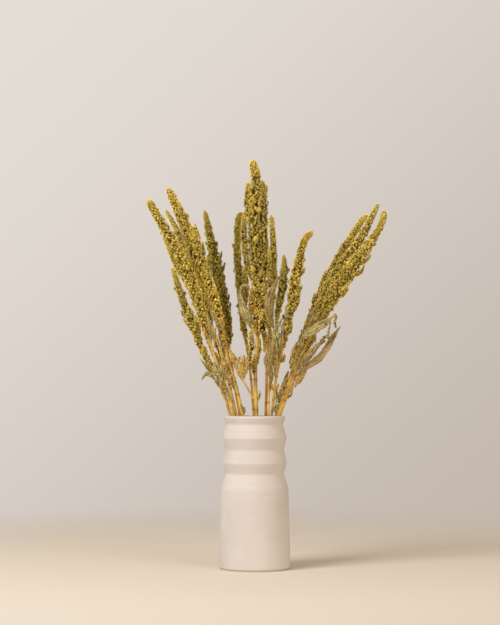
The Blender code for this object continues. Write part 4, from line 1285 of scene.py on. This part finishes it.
def blade_sheet(shape, line, share, side, draw):
    """The middle surface of a dry blade: a row of points at each share of its line.

    Across the rib the blade is an arc whose edge lies one trough below the rib, with a
    crease at the rib and pleats beside it. Its edges wave three and a half times along
    the blade, the sides out of step, and finer crumples run over it. The edge itself is
    nibbled.
    """
    total = lengths_along(line)[-1]
    centre, along, _, _ = frames_along(line, share * total)
    across = unit(np.cross(along, (0.0, -1.0, 0.0)))
    face = np.cross(across, along)
    angle = np.radians(np.interp(share, (0, 1), shape.turn))[:, None]
    width_way = (np.cos(angle) * across + np.sin(angle) * face)[:, None]
    face_way = (np.cos(angle) * face - np.sin(angle) * across)[:, None]
    widths = (LEAF_END_WIDTHS[0], *shape.widths[1:-1], LEAF_END_WIDTHS[1])
    width = spread_evenly(widths, share)[:, None]
    nibble = 1 + NIBBLES * np.column_stack([waves(share * 5, 7, draw), waves(share * 5, 7, draw)])
    reach = np.where(side < 0, nibble[:, :1], nibble[:, 1:]) * (width / 2)
    bend = np.minimum(4 * shape.trough / np.maximum(width, ARC_LEAST_WIDTH), ARC_LIMIT)
    sideways = np.sin(bend * side) / bend * reach
    sink = (1 - np.cos(bend * side)) / bend * reach
    place = share[:, None]
    wave = shape.wave * np.sin(WAVE_TURNS[0] * place + WAVE_TURNS[1] * side) * np.abs(side)
    crumple = CRUMPLE_TURNS[0] * place + CRUMPLE_TURNS[1] * side + 3 * waves(share, 4, draw)[:, None]
    crumple = CRUMPLES * shape.wave * np.sin(crumple)
    crease = CREASE_DEPTH * np.exp(-(side / CREASE_WIDTH) ** 2)
    vein = VEIN_HEIGHT * np.cos(total * VEIN_TURN * place - VEIN_SLANT * np.abs(side))
    pleat = PLEATS * width * np.cos(2.6 * math.pi * side + 2.5 * waves(share, 3, draw)[:, None])
    fade = np.sin(math.pi * place) ** 0.5
    height = (wave + crumple + vein + pleat - crease - sink) * fade
    return centre[:, None] + width_way * sideways[..., None] + face_way * height[..., None]


def leaf(name, shape, material, seed):
    """A dry blade: its middle surface moved out to both faces and joined round the edge.

    A corner's values are its place across the blade from -1 to 1, its distance along the
    blade in metres, and how near it is to the edge.
    """
    draw = np.random.default_rng(LEAF_SEED + seed)
    line = smooth_line([leaf_foot(name, shape), *shape.rib])
    total = lengths_along(line)[-1]
    share = np.linspace(0, 1, int(np.clip(total * LEAF_ROWS, *LEAF_ROW_LIMITS)))
    side = np.linspace(-1, 1, LEAF_COLUMNS)
    sheet = blade_sheet(shape, line, share, side, draw)
    normal = unit(np.cross(np.gradient(sheet, axis=0), np.gradient(sheet, axis=1)))
    thickness = LEAF_END_THICKNESS + (1 - LEAF_END_THICKNESS) * np.sin(math.pi * share)
    lift = normal * LEAF_THICKNESS / 2 * thickness[:, None, None]
    loop = np.concatenate([sheet + lift, (sheet - lift)[:, ::-1]], axis=1)
    round_blade = np.concatenate([side, side[::-1]])
    values = np.empty(loop.shape)
    values[..., 0] = round_blade
    values[..., 1] = share[:, None] * total * MM
    values[..., 2] = np.abs(round_blade) ** 3
    shells = Shells()
    add_sleeve(shells, loop, values)
    piece = write_piece("dry_leaf_" + name, shells, material, "blade")
    if name in LEAVES:
        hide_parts("leaf_" + name)


def rounded_outline(points, radii, step=8.0):
    """An outline whose corners are rounded: near a corner, a curve from side to side.

    Each corner gives way to a quadratic curve that starts and ends one rounding away
    from it, and the straight bits between are cut into even steps.
    """
    points = np.asarray(points, float)
    found = [points[:1]]
    for before, here, after, radius in zip(points[:-2], points[1:-1], points[2:], radii[1:-1]):
        reach = min(radius, np.linalg.norm(here - before) * 0.45, np.linalg.norm(after - here) * 0.45)
        first = here + unit(before - here) * reach
        last = here + unit(after - here) * reach
        t = np.linspace(0, 1, 5)[:, None]
        curve = (1 - t) ** 2 * first + 2 * t * (1 - t) * here + t ** 2 * last
        gap = np.linalg.norm(first - found[-1][-1])
        steps = np.linspace(0, 1, max(2, int(gap / step)), endpoint=False)[1:, None]
        found.append(found[-1][-1] + (first - found[-1][-1]) * steps)
        found.append(curve)
    found.append(points[-1:])
    return np.vstack(found)


def turned_vase(material):
    """The vessel: its wall's outline turned about the Z axis, with a potter's faint waver.

    The outline runs from the middle of the inside floor, up the inner wall, over the lip,
    down the outer side and in to the middle of the underside. Corner = (radius x cosine,
    radius x sine, height).
    """
    draw = np.random.default_rng(VASE_SEED)
    crests = [VASE_SIDE[index] for index in VASE_INSIDE]
    inside = [(radius - VASE_WALL, height, WALL_ROUNDING) for radius, height, _ in crests]
    inside[0] = inside[0][:2] + (LIP_ROUNDING,)
    foot = VASE_SIDE[VASE_FOOT][0] - VASE_WALL
    inside.append((foot, VASE_FLOOR + INSIDE_CORNER, INSIDE_ROUNDING))
    inside.append((foot - INSIDE_CORNER, VASE_FLOOR, INSIDE_ROUNDING))
    inside.append((VASE_POLE, VASE_FLOOR, 0.0))
    corners = [*inside[::-1], *VASE_SIDE, (VASE_POLE, 0.0, 0.0)]
    outline = rounded_outline([corner[:2] for corner in corners], [corner[2] for corner in corners])
    turn = np.arange(VASE_SIDES) * 2 * math.pi / VASE_SIDES
    waver = VASE_WAVER * waves(outline[:, 1] / WAVER_HEIGHT, 6, draw) * (outline[:, 1] > WAVER_FROM)
    radius = outline[:, :1] + waver[:, None] * (1 + 0.3 * np.cos(turn + 0.05 * outline[:, 1:]))
    rings = np.stack([radius * np.cos(turn), radius * np.sin(turn),
                      np.broadcast_to(outline[:, 1:], radius.shape)], axis=-1)
    shells = Shells()
    add_sleeve(shells, rings[:, ::-1], (0.0, 0.0, 0.0))
    piece = write_piece("turned_vase", shells, material, "clay")
    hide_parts("vase")


# Materials

def node(tree, kind, inputs=None, **settings):
    """A shader node with its settings made and its inputs set or linked."""
    made = tree.nodes.new(kind)
    for key, value in settings.items():
        setattr(made, key, value)
    for key, value in (inputs or {}).items():
        if isinstance(value, bpy.types.NodeSocket):
            tree.links.new(value, made.inputs[key])
        else:
            made.inputs[key].default_value = value
    return made


def mix_colours(tree, share, first, second):
    """First where share is 0, second where it is 1."""
    made = node(tree, "ShaderNodeMix", data_type="RGBA")
    for socket, value in ((made.inputs[0], share), (made.inputs[6], first), (made.inputs[7], second)):
        if isinstance(value, bpy.types.NodeSocket):
            tree.links.new(value, socket)
        else:
            socket.default_value = value
    return made.outputs[2]


def sums(tree, operation, first, second=0.0, third=0.0):
    """One step of arithmetic on values of the material."""
    return node(tree, "ShaderNodeMath", {0: first, 1: second, 2: third}, operation=operation).outputs[0]


def ranged(tree, value, low, high, to_low=0.0, to_high=1.0):
    """The value's way from low to high, eased at both ends and carried to the new range."""
    made = node(tree, "ShaderNodeMapRange", {0: value, 1: low, 2: high, 3: to_low, 4: to_high},
                interpolation_type="SMOOTHSTEP")
    return made.outputs[0]


def noise(tree, place, scale, detail=3.0, roughness=0.5):
    """A random pattern from 0 to 1 with this many waves a unit of place."""
    return node(tree, "ShaderNodeTexNoise",
                {"Vector": place, "Scale": scale, "Detail": detail, "Roughness": roughness}).outputs[0]


def new_group(name, colours):
    """A node group from a place, a corner's three values and colours to a colour and a height.

    Given back are its tree, its inputs, the three values apart, and its outputs.
    """
    tree = bpy.data.node_groups.new(name, "ShaderNodeTree")
    for socket in ("Place", "Values"):
        tree.interface.new_socket(name=socket, in_out="INPUT", socket_type="NodeSocketVector")
    for socket in colours:
        tree.interface.new_socket(name=socket, in_out="INPUT", socket_type="NodeSocketColor")
    tree.interface.new_socket(name="Color", in_out="OUTPUT", socket_type="NodeSocketColor")
    tree.interface.new_socket(name="Height", in_out="OUTPUT", socket_type="NodeSocketFloat")
    given = tree.nodes.new("NodeGroupInput").outputs
    parts = node(tree, "ShaderNodeSeparateXYZ", {0: given["Values"]}).outputs
    return tree, given, parts, tree.nodes.new("NodeGroupOutput").inputs


def floret_group():
    """Colour and height of packed florets, from their tone, depth and warmth.

    The body's colour runs from olive through gold to orange with warmth. It darkens to
    the recess colour, painted shade, at a floret's base and in hollows, and pales to a
    painted highlight at its tip, and tone lightens it.
    """
    tree, given, (tone, shade_to_highlight, warmth), made = new_group("packed_florets", FLORETS.colours)
    patch = noise(tree, given["Place"], 75.0, 2.0)
    warmth = sums(tree, "MULTIPLY_ADD", sums(tree, "SUBTRACT", patch, 0.5), 0.5, warmth)
    body = mix_colours(tree, ranged(tree, warmth, 0.05, 0.62), given["Olive"], given["Gold"])
    body = mix_colours(tree, ranged(tree, warmth, 0.62, 1.05), body, given["Orange"])
    # Painted highlight: the pale colour at the tips of florets
    body = mix_colours(tree, ranged(tree, shade_to_highlight, 0.62, 1.0, 0.0, 0.55), body, given["Pale_highlight"])
    speck = noise(tree, given["Place"], 900.0, 1.0)
    value = sums(tree, "MULTIPLY_ADD", tone, 0.75, sums(tree, "MULTIPLY_ADD", speck, 0.5, 0.38))
    body = node(tree, "ShaderNodeHueSaturation", {"Value": value, "Color": body}).outputs[0]
    # Painted shade: the recess colour at the bases of florets and in the hollows between them
    colour = mix_colours(tree, ranged(tree, shade_to_highlight, 0.05, 0.62), given["Recess_shade"], body)
    tree.links.new(colour, made["Color"])
    tree.links.new(speck, made["Height"])
    return tree


def fibre_group():
    """Colour and height of a dry stem: fine streaks along it, slow patches and darker knots."""
    tree, given, (_, bump, _), made = new_group("dry_fibre", FIBRE.colours)
    narrow = node(tree, "ShaderNodeMapping", {"Vector": given["Place"], "Scale": (1.0, 1.0, 0.05)})
    streak = noise(tree, narrow.outputs[0], 1300.0, 3.0, 0.6)
    patch = noise(tree, given["Place"], 45.0, 3.0)
    fleck = noise(tree, given["Place"], 420.0, 2.0)
    shade = sums(tree, "MULTIPLY_ADD", streak, 0.6, sums(tree, "MULTIPLY", patch, 0.7))
    colour = mix_colours(tree, ranged(tree, shade, 0.42, 0.90), given["Deep"], given["Straw"])
    knot = sums(tree, "MULTIPLY", bump, 0.75)
    spot = ranged(tree, fleck, 0.66, 0.78, 0.0, 0.6)
    colour = mix_colours(tree, sums(tree, "MAXIMUM", knot, spot), colour, given["Knot"])
    tree.links.new(colour, made["Color"])
    tree.links.new(streak, made["Height"])
    return tree


def blade_group():
    """Colour and height of a dry leaf: streaked along its length and mottled between its
    body colour and a darker shade colour, partly its own colour and partly painted shade,
    with a pale rib, side veins and edges, and a few scorched spots.

    A side vein is a line where the distance along the blade less a share of the distance
    from the rib is a whole number of vein spacings.
    """
    tree, given, (across, distance, edge), made = new_group("dry_blade", BLADE.colours)
    side = sums(tree, "ABSOLUTE", across)
    slant = sums(tree, "MULTIPLY", side, -VEIN_SLANT)
    phase = sums(tree, "MULTIPLY_ADD", distance, VEIN_TURN / MM, slant)
    veins = ranged(tree, sums(tree, "COSINE", phase), 0.55, 1.0)
    rib = ranged(tree, side, 0.0, 0.16, 1.0, 0.0)
    lines = sums(tree, "MAXIMUM", sums(tree, "MULTIPLY", veins, 0.45), rib)
    # Streaks along the blade between the body and shade colours: partly the leaf's own colour and partly
    # painted shade
    stretched = node(tree, "ShaderNodeMapping", {"Vector": given["Values"], "Scale": (3.2, 70.0, 0.0)})
    streak = noise(tree, stretched.outputs[0], 1.0, 3.0, 0.6)
    mottle = noise(tree, given["Place"], 160.0, 5.0, 0.6)
    mottle = sums(tree, "MULTIPLY_ADD", streak, 0.6, sums(tree, "MULTIPLY", mottle, 0.4))
    grain = noise(tree, given["Place"], 1400.0, 2.0)
    colour = mix_colours(tree, ranged(tree, mottle, 0.40, 0.59), given["Shade"], given["Body"])
    colour = mix_colours(tree, sums(tree, "MULTIPLY", lines, 0.6), colour, given["Vein"])
    colour = mix_colours(tree, sums(tree, "MULTIPLY", edge, 0.45), colour, given["Vein"])
    burn = ranged(tree, noise(tree, given["Place"], 90.0, 4.0, 0.65), 0.60, 0.72, 0.0, 0.6)
    colour = mix_colours(tree, burn, colour, given["Burn"])
    height = sums(tree, "MULTIPLY_ADD", grain, 0.35, sums(tree, "MULTIPLY_ADD", mottle, 0.6, lines))
    tree.links.new(colour, made["Color"])
    tree.links.new(height, made["Height"])
    return tree


def new_material(name, roughness, specular):
    """A material, its tree, its shader and the place of a point on its piece."""
    material = bpy.data.materials.new(name)
    material.use_nodes = True
    tree = material.node_tree
    shader = tree.nodes["Principled BSDF"].inputs
    shader["Roughness"].default_value = roughness
    shader["Specular IOR Level"].default_value = specular
    return material, tree, shader, node(tree, "ShaderNodeTexCoord").outputs["Object"]


def add_bumps(tree, shader, height, strength, distance):
    """A faint relief from a height, as deep as the distance in metres."""
    raised = node(tree, "ShaderNodeBump", {"Height": height, "Strength": strength, "Distance": distance})
    tree.links.new(raised.outputs[0], shader["Normal"])


def finishes(kind, group, table):
    """A material for each row of a table of colours, all reading the kind's group."""
    made = {}
    for name, colours in table.items():
        material, tree, shader, place = new_material(name + "_" + kind.ending, kind.roughness, kind.specular)
        values = node(tree, "ShaderNodeAttribute", attribute_name=kind.values, attribute_type="GEOMETRY")
        used = tree.nodes.new("ShaderNodeGroup")
        used.node_tree = group
        tree.links.new(place, used.inputs["Place"])
        tree.links.new(values.outputs["Vector"], used.inputs["Values"])
        for socket, colour in zip(kind.colours, colours):
            used.inputs[socket].default_value = linear(colour)
        tree.links.new(used.outputs["Color"], shader["Base Color"])
        add_bumps(tree, shader, used.outputs["Height"], kind.strength, kind.height)
        made[name] = material
    return made


def linear(colour):
    """An 8-bit screen colour as the light it stands for."""
    share = np.array(colour) / 255
    light = np.where(share <= 0.04045, share / 12.92, ((share + 0.055) / 1.055) ** 2.4)
    return (*light, 1.0)


def clay_material():
    """Unglazed pale clay: fine throwing lines round it, soft patches and tiny specks."""
    material, tree, shader, place = new_material("unglazed_clay", CLAY_ROUGHNESS[0], 0.25)
    rings = node(tree, "ShaderNodeMapping", {"Vector": place, "Scale": (0.02, 0.02, 1.0)}).outputs[0]
    lines = noise(tree, rings, 620.0, 4.0, 0.7)
    patch = noise(tree, place, 14.0, 3.0)
    speck = noise(tree, place, 750.0, 2.0, 0.7)
    shade = sums(tree, "MULTIPLY_ADD", lines, 0.35, sums(tree, "MULTIPLY", patch, 0.65))
    colour = mix_colours(tree, ranged(tree, shade, 0.35, 0.65), *map(linear, CLAY_COLOURS))
    spots = ranged(tree, speck, 0.70, 0.80, 0.0, 0.35)
    colour = mix_colours(tree, spots, colour, linear(SPECK_COLOUR))
    tree.links.new(colour, shader["Base Color"])
    add_bumps(tree, shader, sums(tree, "MULTIPLY_ADD", speck, 0.35, lines), 0.35, 0.00025)
    tree.links.new(ranged(tree, patch, 0.3, 0.7, *CLAY_ROUGHNESS), shader["Roughness"])
    return material


def floor_material():
    """A plain pale floor that fades out a metre and a half from the vase."""
    material, tree, shader, place = new_material("pale_floor", 0.9, 0.1)
    shader["Base Color"].default_value = linear(FLOOR_COLOUR)
    away = node(tree, "ShaderNodeVectorMath", {0: place}, operation="LENGTH").outputs["Value"]
    tree.links.new(ranged(tree, away, *FLOOR_FADE, 1.0, 0.0), shader["Alpha"])
    return material


def floor():
    """A flat disc: rings of points round a middle point, joined ring to ring by quads."""
    rings = np.linspace(*FLOOR_RADII, FLOOR_RINGS)[:, None, None]
    turn = np.linspace(0, 2 * math.pi, FLOOR_SIDES, endpoint=False)
    circle = np.stack([np.cos(turn), np.sin(turn), np.zeros(FLOOR_SIDES)], axis=-1)
    corners = np.vstack([(0, 0, 0), (rings * circle).reshape(-1, 3)])
    row, side = np.indices((FLOOR_RINGS - 1, FLOOR_SIDES)).reshape(2, -1)
    inner = 1 + row * FLOOR_SIDES
    outer = inner + FLOOR_SIDES
    after = (side + 1) % FLOOR_SIDES
    quads = np.column_stack([inner + side, outer + side, outer + after, inner + after])
    side = np.arange(FLOOR_SIDES)
    middle = np.column_stack([np.zeros(FLOOR_SIDES, int), 1 + side, 1 + (side + 1) % FLOOR_SIDES])
    mesh = bpy.data.meshes.new("pale_floor")
    mesh.from_pydata(corners.tolist(), [], quads.tolist() + middle.tolist())
    mesh.materials.append(floor_material())
    plate = bpy.data.objects.new("pale_floor", mesh)
    bpy.context.scene.collection.objects.link(plate)


def backdrop():
    """Soft light from all round, weaker from below, and a warm grey behind with painted light
    high on the left and painted shade low on the right.
    """
    world = bpy.data.worlds.new("studio")
    bpy.context.scene.world = world
    world.use_nodes = True
    tree = world.node_tree
    tree.nodes.clear()
    way = node(tree, "ShaderNodeTexCoord").outputs["Generated"]
    parts = node(tree, "ShaderNodeSeparateXYZ", {0: way})
    # Painted light on what shows behind: lighter high on the left, darker low on the right
    slope = sums(tree, "MULTIPLY_ADD", parts.outputs[0], -0.9, parts.outputs[2])
    seen = mix_colours(tree, ranged(tree, slope, -0.25, 0.35), *map(linear, BACKDROP_COLOURS))
    shown = node(tree, "ShaderNodeBackground", {"Color": seen, "Strength": 1.0})
    power = ranged(tree, parts.outputs[2], -0.6, 0.1, LIGHT_FROM_BELOW * WORLD_LIGHT, WORLD_LIGHT)
    shining = node(tree, "ShaderNodeBackground", {"Color": linear(WORLD_COLOUR), "Strength": power})
    ray = node(tree, "ShaderNodeLightPath").outputs["Is Camera Ray"]
    either = node(tree, "ShaderNodeMixShader", {0: ray, 1: shining.outputs[0], 2: shown.outputs[0]})
    out = tree.nodes.new("ShaderNodeOutputWorld")
    tree.links.new(either.outputs[0], out.inputs[0])


def lamp(name, place, size, power, colour):
    """A square soft light that faces the lamps' target."""
    light = bpy.data.lights.new(name, "AREA")
    light.size = size
    light.energy = power
    light.color = linear(colour)[:3]
    made = bpy.data.objects.new(name, light)
    bpy.context.scene.collection.objects.link(made)
    made.location = place
    way = np.array(LAMP_TARGET) - np.array(place)
    flat = math.hypot(way[0], way[1])
    made.rotation_euler = (math.pi / 2 + math.atan2(way[2], flat), 0.0, math.atan2(-way[0], way[1]))


def camera():
    """The photograph's camera, level from side to side and tilted a little up."""
    data = bpy.data.cameras.new("camera")
    data.sensor_width = SENSOR
    data.lens = FOCAL_PIXELS * SENSOR / PICTURE_HEIGHT
    data.clip_start, data.clip_end = CAMERA_CLIP
    made = bpy.data.objects.new("camera", data)
    bpy.context.scene.collection.objects.link(made)
    made.location = CAMERA_PLACE
    made.rotation_euler = (math.pi / 2 + math.atan(CAMERA_RISE_PIXELS / FOCAL_PIXELS), 0.0, 0.0)
    bpy.context.scene.camera = made


def build():
    """The camera, the light and the floor, then every piece of the object."""
    camera()
    backdrop()
    for name, settings in LAMPS.items():
        lamp(name, *settings)
    floor()
    bpy.context.scene.view_settings.view_transform = "Standard"

    heads = finishes(FLORETS, floret_group(), HEAD_COLOURS)
    stems = finishes(FIBRE, fibre_group(), STEM_COLOURS)
    blades = finishes(BLADE, blade_group(), LEAF_COLOURS)
    turned_vase(clay_material())
    for number, stalk in STALKS.items():
        stem(number, stalk, stems[stalk.stem])
        head(number, stalk, heads[stalk.head])
    for number, shape in TUFTS.items():
        tuft(number, shape, heads[STALKS[shape.stalk].head])
    for name, shape in REMNANTS.items():
        remnant(name, shape, heads[STALKS[shape.stalk].head])
    twig(stems["straw"])
    for seed, (name, shape) in enumerate({**LEAVES, **SCRAPS}.items()):
        leaf(name, shape, blades[shape.finish], seed)


build()
